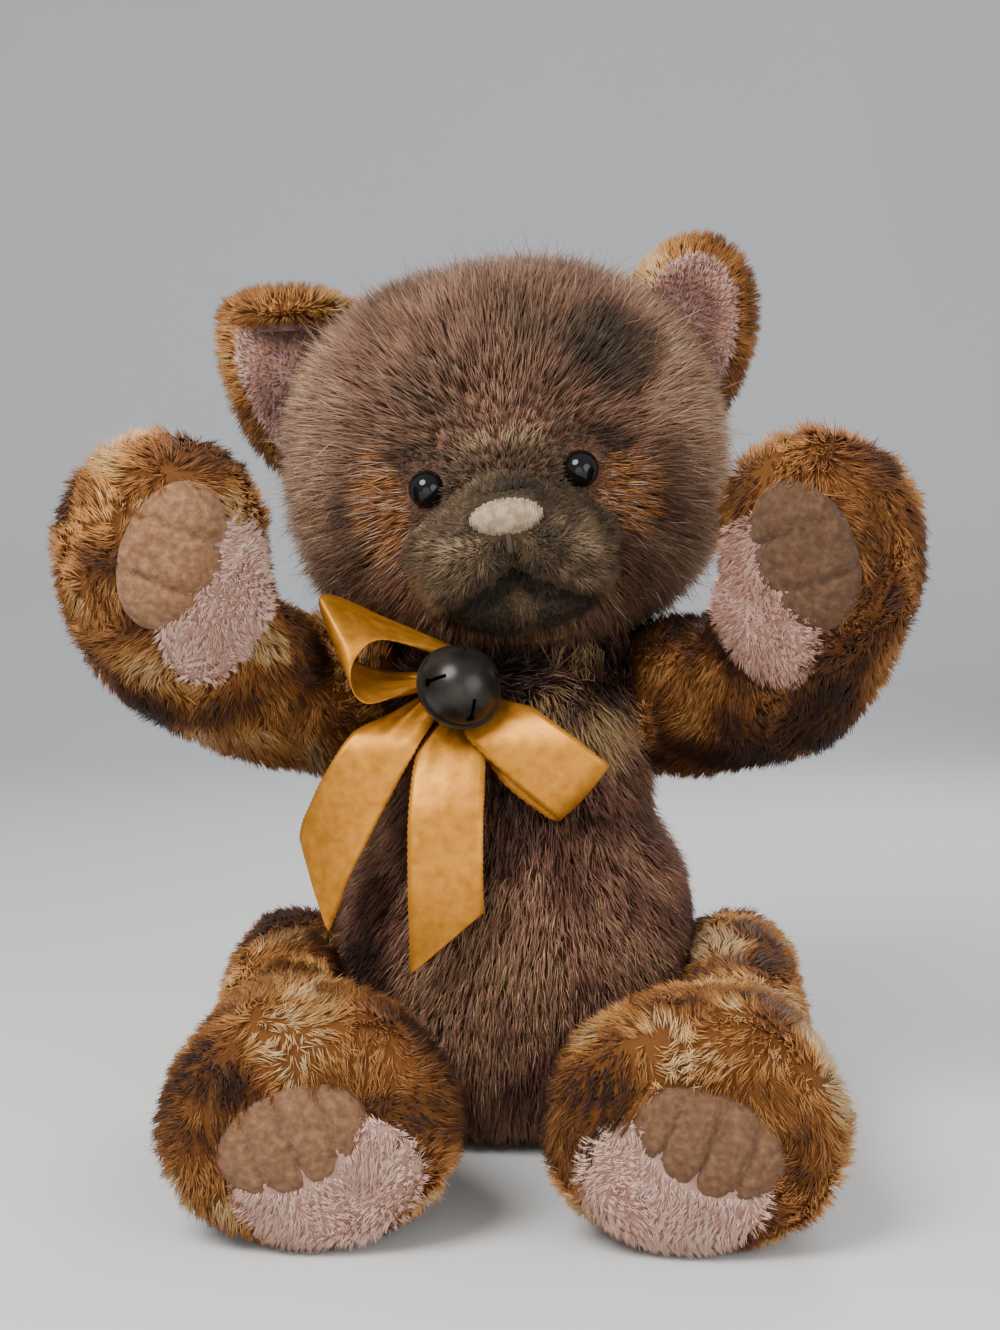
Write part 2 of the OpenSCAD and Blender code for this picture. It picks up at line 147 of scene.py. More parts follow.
def mesh_arrays(obj):
    """Vertices, vertex normals and triangles of a mesh without modifiers."""
    mesh = obj.data
    verts = np.empty(len(mesh.vertices) * 3)
    mesh.vertices.foreach_get("co", verts)
    normals = np.empty(len(mesh.vertices) * 3)
    mesh.vertex_normals.foreach_get("vector", normals)
    mesh.calc_loop_triangles()
    tris = np.empty(len(mesh.loop_triangles) * 3, np.int32)
    mesh.loop_triangles.foreach_get("vertices", tris)
    return verts.reshape(-1, 3), normals.reshape(-1, 3), tris.reshape(-1, 3)


def bvh_of(*objects):
    verts, faces = [], []
    for obj in objects:
        v, _, t = mesh_arrays(obj)
        faces.extend((t + len(verts)).tolist())
        verts.extend(v.tolist())
    return BVHTree.FromPolygons(verts, faces)


def set_head_mm(obj, q):
    """Move a mesh's vertices to places in the head's axes."""
    obj.data.vertices.foreach_set("co", (NECK + q @ HEAD_TURN.T * MM).ravel())
    obj.data.update()


def finish_piece(obj, body, material, replaced=()):
    obj.data.materials.clear()
    obj.data.materials.append(material)
    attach(obj, body)
    if replaced:
        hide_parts(*replaced)
    return obj


def keep_largest(obj):
    """Leave only the part of a mesh that reaches furthest, dropping the walls of hollows inside it."""
    bm = bmesh.new()
    bm.from_mesh(obj.data)
    bm.verts.ensure_lookup_table()
    part = np.full(len(bm.verts), -1)
    parts = 0
    for first in bm.verts:
        if part[first.index] >= 0:
            continue
        part[first.index] = parts
        edge = [first]
        while edge:
            vert = edge.pop()
            for link in vert.link_edges:
                other = link.other_vert(vert)
                if part[other.index] < 0:
                    part[other.index] = parts
                    edge.append(other)
        parts += 1
    places = np.array([v.co for v in bm.verts])
    reach = [np.linalg.norm(np.ptp(places[part == k], axis=0)) for k in range(parts)]
    best = int(np.argmax(reach))
    extra = [v for v in bm.verts if part[v.index] != best]
    bmesh.ops.delete(bm, geom=extra, context="VERTS")
    bm.to_mesh(obj.data)
    bm.free()


def form(name, nodes, voxel=2.5, soften=6, lumps=0.0, seed=0, swell=0.0):
    """The smooth outer surface of some CAD nodes together: the largest skin of their union, evened."""
    verts, faces = [], []
    for node in nodes:
        v, _, t = mesh_arrays(NODES[node])
        faces.extend((t + len(verts)).tolist())
        verts.extend(v.tolist())
    obj = new_object(name, verts, faces)
    remesh = obj.modifiers.new("join", "REMESH")
    remesh.mode = "VOXEL"
    remesh.voxel_size = min(voxel, 1.3) * MM
    apply_modifiers(obj)
    keep_largest(obj)
    remesh = obj.modifiers.new("even", "REMESH")
    remesh.mode = "VOXEL"
    remesh.voxel_size = voxel * MM
    relax = obj.modifiers.new("relax", "SMOOTH")
    relax.iterations = soften
    apply_modifiers(obj)
    if lumps or swell:
        verts, normals, _ = mesh_arrays(obj)
        rise = (noise(verts / MM, 16, seed) - 0.5) + 0.5 * (noise(verts / MM, 7, seed + 1) - 0.5)
        rise = (rise * lumps + swell) * MM
        obj.data.vertices.foreach_set("co", (verts + normals * rise[:, None]).ravel())
        obj.data.update()
    smooth_shade(obj)
    return obj


# ------------------------------------------------------------------ materials
def new_material(name, roughness=0.6, **sockets):
    mat = bpy.data.materials.new(name)
    mat.use_nodes = True
    shader = mat.node_tree.nodes["Principled BSDF"]
    shader.inputs["Roughness"].default_value = roughness
    for key, value in sockets.items():
        shader.inputs[key.replace("_", " ")].default_value = value
    return mat, mat.node_tree.nodes, mat.node_tree.links, shader


def ramp(nodes, stops):
    node = nodes.new("ShaderNodeValToRGB")
    elements = node.color_ramp.elements
    elements[0].position, elements[1].position = stops[0][0], stops[-1][0]
    elements[0].color, elements[1].color = (*stops[0][1], 1), (*stops[-1][1], 1)
    for place, colour in stops[1:-1]:
        elements.new(place).color = (*colour, 1)
    return node


def mix_colour(nodes, links, kind, factor, a, b):
    node = nodes.new("ShaderNodeMix")
    node.data_type = "RGBA"
    node.blend_type = kind
    for socket, value in ((node.inputs[0], factor), (node.inputs[6], a), (node.inputs[7], b)):
        if hasattr(value, "is_linked") or hasattr(value, "links"):
            links.new(value, socket)
        elif isinstance(value, (int, float)):
            socket.default_value = value
        else:
            socket.default_value = (*value, 1)
    return node.outputs[2]


def spots(nodes, links, scale, detail=2.0):
    """A noise texture over the object's own coordinates."""
    coords = nodes.new("ShaderNodeTexCoord")
    texture = nodes.new("ShaderNodeTexNoise")
    texture.inputs["Scale"].default_value = scale
    texture.inputs["Detail"].default_value = detail
    links.new(coords.outputs["Object"], texture.inputs["Vector"])
    return texture.outputs[0]


def spotted(nodes, links, shader, texture, stops):
    """Base colour from a texture through a ramp."""
    tone = ramp(nodes, stops)
    links.new(texture, tone.inputs[0])
    links.new(tone.outputs[0], shader.inputs["Base Color"])


def bumped(nodes, links, shader, texture, strength, distance):
    bump = nodes.new("ShaderNodeBump")
    bump.inputs["Strength"].default_value = strength
    bump.inputs["Distance"].default_value = distance
    links.new(texture, bump.inputs["Height"])
    links.new(bump.outputs[0], shader.inputs["Normal"])


def pile_material(name, tones, root=0.35, tip=None, tip_from=0.6, roughness=0.62):
    """Strand colour: tones along u, darkened towards the root by painted shade, with a tip colour past
    tip_from along v.
    """
    mat, nodes, links, shader = new_material(name, roughness, Specular_IOR_Level=0.35)
    uv = nodes.new("ShaderNodeUVMap")
    uv.uv_map = "OFBake"
    split = nodes.new("ShaderNodeSeparateXYZ")
    links.new(uv.outputs[0], split.inputs[0])
    tone = ramp(nodes, tones)
    links.new(split.outputs[0], tone.inputs[0])
    # Painted shade deep in the pile: the colour is multiplied by root at the root end, rising to full three
    # quarters of the way up.
    shade = ramp(nodes, [(0, (root, root, root)), (0.75, (1, 1, 1))])
    links.new(split.outputs[1], shade.inputs[0])
    colour = mix_colour(nodes, links, "MULTIPLY", 1.0, tone.outputs[0], shade.outputs[0])
    if tip:
        amount = ramp(nodes, [(tip_from, (0, 0, 0)), (1, (tip[3], tip[3], tip[3]))])
        links.new(split.outputs[1], amount.inputs[0])
        colour = mix_colour(nodes, links, "MIX", amount.outputs[0], colour, tip[:3])
    links.new(colour, shader.inputs["Base Color"])
    return mat


# Painted shade: the cloth under a pile is made this much darker than the pile's own tones
BACKING_PAINTED_SHADE = 0.45


def backing_material(name, tones, spot=60.0):
    """The knitted cloth under a pile: the same tones darkened by painted shade, in soft spots, with a fine
    grain.
    """
    mat, nodes, links, shader = new_material(name, 0.85, Specular_IOR_Level=0.15)
    # Painted shade: the pile's tones, darkened for the cloth under it.
    dark = [(place, tuple(c * BACKING_PAINTED_SHADE for c in colour)) for place, colour in tones]
    spotted(nodes, links, shader, spots(nodes, links, spot, 6), dark)
    bumped(nodes, links, shader, spots(nodes, links, 900), 0.5, 0.0008)
    return mat


# Along u, dark to light. The head's last two stops are its rust patches, the body's its blonde ruff
HEAD_TONES = [(0.0, (0.030, 0.017, 0.008)), (0.25, (0.100, 0.048, 0.024)), (0.5, (0.25, 0.115, 0.064)),
              (0.72, (0.42, 0.25, 0.155)), (0.80, (0.66, 0.43, 0.28)), (0.88, (0.19, 0.058, 0.012)),
              (1.0, (0.46, 0.17, 0.035))]
BODY_TONES = [(0.0, (0.020, 0.010, 0.008)), (0.35, (0.075, 0.030, 0.020)), (0.6, (0.19, 0.074, 0.042)),
              (0.85, (0.44, 0.220, 0.138)), (0.92, (0.30, 0.18, 0.065)), (1.0, (0.56, 0.38, 0.170))]
LIMB_TONES = [(0.0, (0.026, 0.009, 0.004)), (0.25, (0.085, 0.027, 0.008)), (0.5, (0.25, 0.085, 0.015)),
              (0.72, (0.46, 0.19, 0.040)), (0.9, (0.58, 0.31, 0.105)), (1.0, (0.66, 0.46, 0.240))]
MUZZLE_TONES = [(0.0, (0.011, 0.007, 0.005)), (0.3, (0.045, 0.027, 0.014)), (0.55, (0.12, 0.072, 0.036)),
                (0.8, (0.32, 0.21, 0.115)), (1.0, (0.50, 0.36, 0.210))]
PINK_TONES = [(0.0, (0.36, 0.16, 0.11)), (0.5, (0.68, 0.40, 0.31)), (1.0, (0.86, 0.62, 0.51))]
LINING_TONES = [(0.0, (0.10, 0.045, 0.038)), (0.5, (0.40, 0.21, 0.17)), (1.0, (0.66, 0.43, 0.36))]

# A tip is its colour and how much of it shows at the very end
# root is the painted shade at a strand's root: its colour is multiplied by it there.
M_HEAD = pile_material("head_pile", HEAD_TONES, root=0.25, tip=(0.62, 0.43, 0.29, 0.40), tip_from=0.7)
M_BODY = pile_material("body_pile", BODY_TONES, root=0.25, tip=(0.55, 0.34, 0.24, 0.45), tip_from=0.7)
M_LIMB = pile_material("limb_pile", LIMB_TONES, root=0.35, roughness=0.55)
M_MUZZLE = pile_material("muzzle_pile", MUZZLE_TONES, root=0.3, tip=(0.50, 0.36, 0.18, 0.35),
                         tip_from=0.7)
M_PINK = pile_material("pink_pile", PINK_TONES, root=0.55)
M_LINING = pile_material("lining_pile", LINING_TONES, root=0.5)
B_HEAD = backing_material("head_backing", HEAD_TONES[:3])
B_BODY = backing_material("body_backing", BODY_TONES[:3])
B_LIMB = backing_material("limb_backing", LIMB_TONES[:3])
B_MUZZLE = backing_material("muzzle_backing", MUZZLE_TONES[:3])
B_PINK = backing_material("pink_backing", PINK_TONES, 200)
B_LINING = backing_material("lining_backing", LINING_TONES, 200)


# ------------------------------------------------------------------ pile of strands
def sample(obj, count, rng):
    verts, normals, tris = mesh_arrays(obj)
    corners = verts[tris]
    area = np.linalg.norm(np.cross(corners[:, 1] - corners[:, 0], corners[:, 2] - corners[:, 0]), axis=1)
    pick = rng.choice(len(tris), count, p=area / area.sum())
    a, b = rng.random(count), rng.random(count)
    flip = a + b > 1
    a[flip], b[flip] = 1 - a[flip], 1 - b[flip]
    weights = np.stack([1 - a - b, a, b], axis=1)[:, :, None]
    return (corners[pick] * weights).sum(axis=1), unit((normals[tris[pick]] * weights).sum(axis=1))


# How much a strand thins towards its last ring, how far its sides differ in tone, and the UVs' margin
TAPER, SIDE_TONE, UV_MARGIN = 0.45, 0.012, 0.02


def strand_mesh(name, chains, widths, tone, rng):
    """Closed three-sided strands. chains is (strands, rings, 3), the last ring being the tip."""
    count, rings = chains.shape[:2]
    along = unit(chains[:, 1] - chains[:, 0])
    side = unit(np.cross(along, unit(rng.normal(size=(count, 3)))))
    other = np.cross(along, side)
    parts, v_parts = [], []
    for ring in range(rings - 1):
        width = widths * (1 - TAPER * ring / (rings - 1))
        for corner in range(3):
            angle = 2 * math.pi * corner / 3
            offset = side * math.cos(angle) + other * math.sin(angle)
            parts.append(chains[:, ring] + offset * width[:, None] / 2)
            v_parts.append(ring / (rings - 1))
    parts.append(chains[:, -1])
    v_parts.append(1.0)
    per = len(parts)
    verts = np.stack(parts, axis=1).reshape(-1, 3)
    quads = [(3 * r + c, 3 * r + (c + 1) % 3, 3 * r + 3 + (c + 1) % 3, 3 * r + 3 + c)
             for r in range(rings - 2) for c in range(3)]
    top = 3 * (rings - 2)
    threes = [(0, 2, 1)] + [(top + c, top + (c + 1) % 3, per - 1) for c in range(3)]
    loops_one = np.array([i for f in quads + threes for i in f])
    sizes_one = np.array([4] * len(quads) + [3] * len(threes))
    base = (np.arange(count) * per)[:, None]
    loops = (base + loops_one[None, :]).ravel()
    sizes = np.tile(sizes_one, count)
    starts = np.concatenate([[0], np.cumsum(sizes)[:-1]])
    mesh = bpy.data.meshes.new(name)
    mesh.vertices.add(len(verts))
    mesh.vertices.foreach_set("co", verts.ravel())
    mesh.loops.add(len(loops))
    mesh.loops.foreach_set("vertex_index", loops.astype(np.int32))
    mesh.polygons.add(len(sizes))
    mesh.polygons.foreach_set("loop_start", starts.astype(np.int32))
    mesh.polygons.foreach_set("use_smooth", np.ones(len(sizes), bool))
    mesh.update(calc_edges=True)
    spread = SIDE_TONE * (np.array([i % 3 if i < per - 1 else 1 for i in range(per)]) - 1)
    u = np.clip(tone[:, None], UV_MARGIN, 1 - UV_MARGIN) + spread[None, :]
    v = np.tile(np.array(v_parts) * (1 - 2 * UV_MARGIN) + UV_MARGIN, (count, 1))
    uv = np.stack([u.ravel()[loops], v.ravel()[loops]], axis=1)
    layer = mesh.uv_layers.new(name="OFBake")
    layer.uv.foreach_set("vector", uv.astype(np.float32).ravel())
    obj = bpy.data.objects.new(name, mesh)
    bpy.context.scene.collection.objects.link(obj)
    return obj


# Strands stay this far above the surface that the bear sits on
FLOOR_GAP = 0.4 * MM
ROOT_DEPTH = 0.8 * MM


def pile(name, base, body, material, count, length, comb, tone, seed, width=0.5, lay=0.7, droop=0.3,
         frizz=0.25, clump=4.0, gather=0.45, rings=3, keep=None, panels=1, panel_of=None):
    """A pile of strands on a form, in one mesh or in panels.

    length, comb, tone, keep and panel_of are functions of the root places in frame metres. Lengths, width
    and clump are in mm. lay, droop and frizz bend a strand along the comb, down and at random, and gather
    draws the strands of a clump together.
    """
    rng = np.random.default_rng(seed)
    roots, normals = sample(base, count, rng)
    if keep is not None:
        wanted = keep(roots, normals)
        roots, normals = roots[wanted], normals[wanted]
    total = len(roots)
    long = length(roots) * (0.72 + 0.4 * rng.random(total)) * MM
    way = comb(roots, normals)
    way = unit(way - normals * (way * normals).sum(axis=1, keepdims=True))
    wild = rng.normal(size=(total, 3)) * frizz
    first = unit(normals + way * lay * 0.6 + wild * 0.6)
    chains = [roots - normals * ROOT_DEPTH]
    down = np.array([0, 0, -1.0])
    here = chains[0]
    for ring in range(1, rings):
        bend = ring / (rings - 1)
        direction = unit(first + way * lay * bend + down * droop * bend + wild * bend)
        here = here + direction * (long / (rings - 1))[:, None]
        chains.append(here)
    chains = np.stack(chains, axis=1)
    if clump:
        ragged = 1.3 * noise(roots / MM, clump * 1.7, seed)[:, None]
        cell = np.floor(roots / (clump * MM) + ragged).astype(np.int64)
        _, group = np.unique(cell, axis=0, return_inverse=True)
        group = group.ravel()
        members = np.bincount(group)[:, None]
        pull = gather * (0.6 + 0.8 * rng.random(total))[:, None]
        for ring in range(1, rings):
            sums = [np.bincount(group, chains[:, ring, k]) for k in range(3)]
            centre = np.stack(sums, axis=1) / members
            share = pull * (ring / (rings - 1)) ** 1.5
            chains[:, ring] += (centre[group] - chains[:, ring]) * share
    chains[:, :, 2] = np.maximum(chains[:, :, 2], FLOOR_GAP)
    shades = np.clip(tone(roots) + rng.normal(size=total) * 0.09, 0, 1)
    widths = width * (0.7 + 0.6 * rng.random(total)) * MM
    which = np.zeros(total, int) if panel_of is None else panel_of(roots)
    for panel in range(panels):
        mine = which == panel
        if not mine.any():
            continue
        label = f"{name}_{panel + 1}" if panels > 1 else name
        obj = strand_mesh(label, chains[mine], widths[mine], shades[mine], rng)
        finish_piece(obj, body, material)


def constant(value):
    return lambda p: np.full(len(p), float(value))


# ------------------------------------------------------------------ camera, backdrop and light
def backdrop():
    """A pale cloth that lies on the floor and rises far behind the bear, with a few soft folds."""
    columns, rows = 130, 150
    across = np.linspace(-2.6, 2.6, columns)
    run = np.linspace(-2.6, 4.6, rows)
    wall, radius, steep = 1.3, 1.1, math.radians(84)
    verts, faces = [], []
    for s in run:
        turn = min(max((s - wall) / radius, 0), steep)
        rest = max(s - wall - radius * steep, 0)
        y = min(s, wall) + radius * math.sin(turn) + rest * math.cos(steep)
        z = radius * (1 - math.cos(turn)) + rest * math.sin(steep)
        row = np.stack([across, np.full(columns, s), np.zeros(columns)], axis=1)
        fold = (noise(row * [1, 0.45, 1] + [0.3, 0, 0], 0.52, 71) - 0.5) * 0.22
        fold += (noise(row * [1, 0.6, 1], 0.22, 72) - 0.5) * 0.05
        fold *= smoothstep(wall, wall + 0.6, np.full(columns, s))
        for x, lift in zip(across, fold):
            verts.append((x, y - lift * math.sin(turn), z + lift * math.cos(turn)))
    for r in range(rows - 1):
        for c in range(columns - 1):
            a = r * columns + c
            faces.append((a, a + 1, a + columns + 1, a + columns))
    sheet = new_object("backdrop", verts, faces)
    smooth_shade(sheet)
    return sheet


CAMERA_AT = (20.7, -750, 212)
CAMERA_PITCH, CAMERA_YAW, CAMERA_LENS = -3.4, 2.03, 72
# Place and aim in torso mm, size in metres, power in watts
LIGHTS = {
    "key": ((-380, -620, 760), (0, -20, 170), 0.5, 13),
    "fill": ((520, -640, 300), (0, -20, 120), 0.6, 3.6),
    "low": ((-60, -700, 90), (0, -20, 80), 0.5, 1.2),
    "back": ((420, 900, 900), (0, 0, 150), 0.6, 9),
}


def stage_scene():
    scene = bpy.context.scene
    camera = bpy.data.objects.new("camera", bpy.data.cameras.new("camera"))
    scene.collection.objects.link(camera)
    camera.location = from_torso(*CAMERA_AT)
    camera.rotation_euler = (math.radians(90 + CAMERA_PITCH), 0, math.radians(CAMERA_YAW))
    camera.data.sensor_fit = "HORIZONTAL"
    camera.data.lens = CAMERA_LENS
    camera.data.clip_start = 0.05
    scene.camera = camera
    sheet = backdrop()
    mat, nodes, links, shader = new_material("backdrop", 0.9, Specular_IOR_Level=0.2)
    coords = nodes.new("ShaderNodeTexCoord")
    depth = nodes.new("ShaderNodeVectorMath")
    depth.operation = "DOT_PRODUCT"
    depth.inputs[1].default_value = (0, 0.4, 0.4)  # 1 at 2.5 m back and up together
    links.new(coords.outputs["Object"], depth.inputs[0])
    # Painted light: the cloth is one pale colour, made lighter towards the back and the top of the sweep.
    pale = [(0.10, (0.62, 0.61, 0.59)), (0.45, (0.60, 0.60, 0.60)), (0.92, (0.73, 0.735, 0.745))]
    backdrop_painted_light = ramp(nodes, pale)
    links.new(depth.outputs["Value"], backdrop_painted_light.inputs[0])
    links.new(backdrop_painted_light.outputs[0], shader.inputs["Base Color"])
    sheet.data.materials.append(mat)
    world = bpy.data.worlds.new("studio")
    scene.world = world
    world.use_nodes = True
    background = world.node_tree.nodes["Background"]
    background.inputs[0].default_value = (0.80, 0.82, 0.85, 1)
    background.inputs[1].default_value = 0.75
    for name, (place, aim, size, power) in LIGHTS.items():
        light = bpy.data.lights.new(name, "AREA")
        light.shape = "DISK"
        light.size = size
        light.energy = power
        lamp = bpy.data.objects.new(name, light)
        lamp.visible_camera = False
        scene.collection.objects.link(lamp)
        lamp.location = from_torso(*place)
        way = Vector(from_torso(*aim)) - lamp.location
        lamp.rotation_euler = way.to_track_quat("-Z", "Y").to_euler()


# ------------------------------------------------------------------ head
EYES = [(-26.5, -60.5, 57.5), (26.5, -60.5, 57.5)]
NOSE = (0, -88, 44)
EYE_R = 6.6
SMUDGE = (40, -44, 95)


def from_eyes(q):
    """Distance to the nearer eye."""
    return np.min([np.linalg.norm(q - np.array(spot), axis=1) for spot in EYES], axis=0)


def head_tone(p):
    """Pinkish brown, lighter cheeks, dark round the eyes and in one smudge, with two rust patches."""
    q = head_mm(p)
    shade = 0.47 + 0.26 * (noise(q, 30, 3) - 0.5) + 0.30 * (noise(q, 9, 4) - 0.5)
    shade += 0.24 * smoothstep(34, 62, np.abs(q[:, 0])) + 0.17 * smoothstep(30, 60, q[:, 0])
    shade -= 0.14 * blob(q, (0, -50, 92), (36, 60, 34))
    for x, y, z in EYES:
        shade -= 0.55 * blob(q, (x, y, z + 1), (18, 30, 16))
    shade -= 0.50 * blob(q, SMUDGE, (21, 40, 19))
    shade -= 0.35 * blob(q, (-50, -44, 50), (9, 30, 24)) + 0.35 * blob(q, (50, -44, 52), (9, 30, 20))
    shade = np.clip(shade, 0, 0.80)
    rust = np.maximum(blob(q, (-39, -50, 53), (10, 34, 23)), blob(q, (38, -52, 49), (12, 34, 16)))
    ragged = 0.5 + 0.6 * (noise(q, 4, 7) - 0.5)
    return np.where(rust > ragged, 0.90 + 0.20 * (noise(q, 3, 5) - 0.5), shade)


def head_comb(p, n):
    """Away from the nose over the face, down and back behind it."""
    q = head_mm(p)
    away = unit(q - np.array(NOSE))
    away[:, 1] += 0.25
    away[:, 2] -= 0.35 * smoothstep(-20, 20, q[:, 1]) + 0.15
    return away @ HEAD_TURN.T


def head_length(p):
    q = head_mm(p)
    face = blob(q, (0, -70, 52), (50, 52, 46))
    return (15.5 - 8.0 * face) * (0.5 + 0.5 * smoothstep(7, 15, from_eyes(q)))


def mouth_height(side):
    """The mouth is an upside-down V, its ends lower than its middle."""
    return 30 - 0.64 * side


def bridge(q):
    """Where the muzzle cloth runs up between the eyes, in head mm."""
    ragged = 2.5 * (noise(q, 3, 18) - 0.5)
    narrow = np.abs(q[:, 0]) + ragged < 19 - 0.45 * np.maximum(q[:, 2] - 56, 0)
    return narrow & (q[:, 2] + ragged < 71) & (q[:, 2] > 48) & (q[:, 1] < -46)


def keep_head(p, n):
    """The head's own fur: not under the muzzle, the eyes or the neck, and not on the bridge."""
    q = head_mm(p)
    under_muzzle = ((q[:, 0] / 31) ** 2 + ((q[:, 2] - 30) / 24) ** 2 < 1) & (q[:, 1] < -46)
    neck = (q[:, 2] < 3) & (np.hypot(q[:, 0], q[:, 1]) < 27)
    return ~(under_muzzle | (from_eyes(q) < EYE_R - 0.2) | neck | bridge(q))


def muzzle_tone(p):
    """Mottled, blonde at the cheeks and the top, dark under the nose, with painted shade along the mouth
    and below it.
    """
    q = head_mm(p)
    side = np.abs(q[:, 0])
    shade = 0.48 + 0.6 * (noise(q, 5, 8) - 0.5) + 0.3 * (noise(q, 18, 9) - 0.5)
    shade += 0.16 * smoothstep(58, 64, q[:, 2])
    shade += 0.30 * smoothstep(16, 30, side) * smoothstep(50, 30, q[:, 2])
    shade -= 0.30 * blob(q, (0, -84, 52), (22, 16, 13)) + 0.16 * blob(q, (0, -84, 33), (20, 30, 16))
    # Painted shade in the groove of the mouth: darker along the mouth line and below it, under the upper
    # lip.
    shade -= 0.55 * smoothstep(4.0, 1.0, q[:, 2] - mouth_height(side)) * smoothstep(33, 27, side)
    shade += 0.25 * smoothstep(5, 2, side) * (q[:, 2] < 24)
    return np.clip(shade, 0, 1)


def bridge_tone(p):
    q = head_mm(p)
    return 0.34 + 0.38 * smoothstep(60, 70, q[:, 2]) + 0.3 * (noise(q, 4, 17) - 0.5)


def chin_shade_and_tuft(p):
    q = head_mm(p)
    # Painted shade under the muzzle: dark all over, with a lighter tuft in the middle.
    return 0.12 + 0.5 * smoothstep(6, 2, np.abs(q[:, 0] - 2)) * noise(q, 3, 14)


def muzzle_length(p):
    q = head_mm(p)
    on_top = smoothstep(14, 6, np.abs(q[:, 0])) * (q[:, 2] > 52)
    return 2.8 + 3.6 * smoothstep(48, 36, q[:, 2]) + 2.6 * on_top


def muzzle_comb(p, n):
    away = head_mm(p) - np.array([0, -95, 40])
    return unit(away) @ HEAD_TURN.T


def keep_muzzle(p, n):
    q = head_mm(p)
    nose = ((q[:, 0] / 12.5) ** 2 + ((q[:, 2] - 44) / 6.5) ** 2 < 1) & (q[:, 1] < -70)
    behind = q[:, 1] > -52
    side = np.abs(q[:, 0])
    mouth = (np.abs(q[:, 2] - mouth_height(side)) < 1.8) & (side < 27)
    return ~(nose | behind | mouth)


def head_panel(p):
    """Three panels from front to back, each in a right and a left half."""
    q = head_mm(p)
    return 2 * np.digitize(q[:, 1], (-28, 22)) + (q[:, 0] > 0)


def shape_muzzle(muzzle):
    """Hollow the muzzle beside the nose, fill its two cheeks, and set it back below the mouth."""
    q = head_mm(mesh_arrays(muzzle)[0])
    side = np.abs(q[:, 0])
    q[:, 1] += 9 * smoothstep(34, 56, q[:, 2]) * smoothstep(6, 28, side) * smoothstep(-50, -58, q[:, 1])
    q[:, 1] -= 4.5 * blob(q, (17, -76, 24), (17, 30, 18)) + 4.5 * blob(q, (-17, -76, 24), (17, 30, 18))
    q[:, 1] += 3.0 * smoothstep(7, 1, side) * smoothstep(38, 32, q[:, 2]) * smoothstep(-60, -70, q[:, 1])
    below = smoothstep(3, -3, q[:, 2] - mouth_height(side))
    q[:, 1] += 6.5 * below * smoothstep(-58, -66, q[:, 1])
    set_head_mm(muzzle, q)


def make_head():
    solids = ["head_skin", "head_stuffing", "neck_joint_disc", "neck_lock_washer"]
    base = form("head_cloth", solids, 2.6, 6, swell=0.3)
    finish_piece(base, "head", B_HEAD, ["head_skin"])
    muzzle = form("muzzle_cloth", ["muzzle"], 1.8, 5)
    shape_muzzle(muzzle)
    finish_piece(muzzle, "head", B_MUZZLE, ["muzzle"])
    chin = form("chin_cloth", ["chin"], 1.5, 4)
    finish_piece(chin, "head", B_MUZZLE, ["chin"])

    pile("head_guard_hairs", base, "head", M_HEAD, 4000,
         lambda p: 21 - 9 * smoothstep(0, 40, head_mm(p)[:, 1]), head_comb,
         lambda p: 0.30 + head_tone(p) * 0.6, 15, width=0.3, lay=0.9, droop=0.3, frizz=0.5, clump=0,
         keep=lambda p, n: keep_head(p, n) & (head_mm(p)[:, 1] > -46))
    pile("head_pile", base, "head", M_HEAD, 80000, head_length, head_comb, head_tone, 11,
         width=0.4, lay=0.9, droop=0.25, frizz=0.34, clump=4.2, gather=0.5, keep=keep_head, panels=6,
         panel_of=head_panel)

    def eye_rim(p, n):
        q = head_mm(p)
        return (from_eyes(q) > 6.0) & (from_eyes(q) < 11.5) & (q[:, 1] < -48)

    pile("eye_rim_pile", base, "head", M_HEAD, 150000, constant(3.6), head_comb,
         lambda p: 0.14 + 0.22 * noise(head_mm(p), 3, 19), 20, width=0.4, lay=0.8, droop=0.1, frizz=0.3,
         clump=2.4, gather=0.4, rings=2, keep=eye_rim)
    pile("bridge_pile", base, "head", M_MUZZLE, 90000, constant(7.5), head_comb, bridge_tone,
         16, width=0.42, lay=0.8, droop=0.1, frizz=0.3, clump=3.0, gather=0.5,
         keep=lambda p, n: (from_eyes(head_mm(p)) > EYE_R - 0.2) & bridge(head_mm(p)))
    pile("muzzle_pile", muzzle, "head", M_MUZZLE, 26000, muzzle_length, muzzle_comb,
         muzzle_tone, 12, width=0.5, lay=0.6, droop=0.15, frizz=0.35, clump=2.6, gather=0.5, rings=2,
         keep=keep_muzzle)
    pile("chin_pile", chin, "head", M_MUZZLE, 8000, constant(4.5), muzzle_comb, chin_shade_and_tuft, 13,
         width=0.5, lay=0.7, droop=0.5, frizz=0.3, clump=2.4, gather=0.5, rings=2,
         keep=lambda p, n: head_mm(p)[:, 1] < -52)


# ------------------------------------------------------------------ torso
def torso_tone(p):
    """Mottled brown, lighter on the belly, with painted shade under the chin and a blonde ruff beside the
    bow.
    """
    q = torso_mm(p)
    shade = 0.54 + 0.40 * (noise(q, 26, 21) - 0.5) + 0.62 * (noise(q, 8, 22) - 0.5)
    # The first blob lightens the belly; the second is painted shade under the chin, where the head shades
    # the top of the chest.
    shade += 0.20 * blob(q, (6, -70, 55), (62, 46, 66)) - 0.30 * blob(q, (0, -50, 176), (60, 60, 26))
    ruff = blob(q, (28, -42, 154), (30, 36, 24)) * noise(q, 9, 23)
    return np.where(ruff > 0.30, 0.86 + 0.14 * noise(q, 5, 25), np.clip(shade, 0, 0.84))


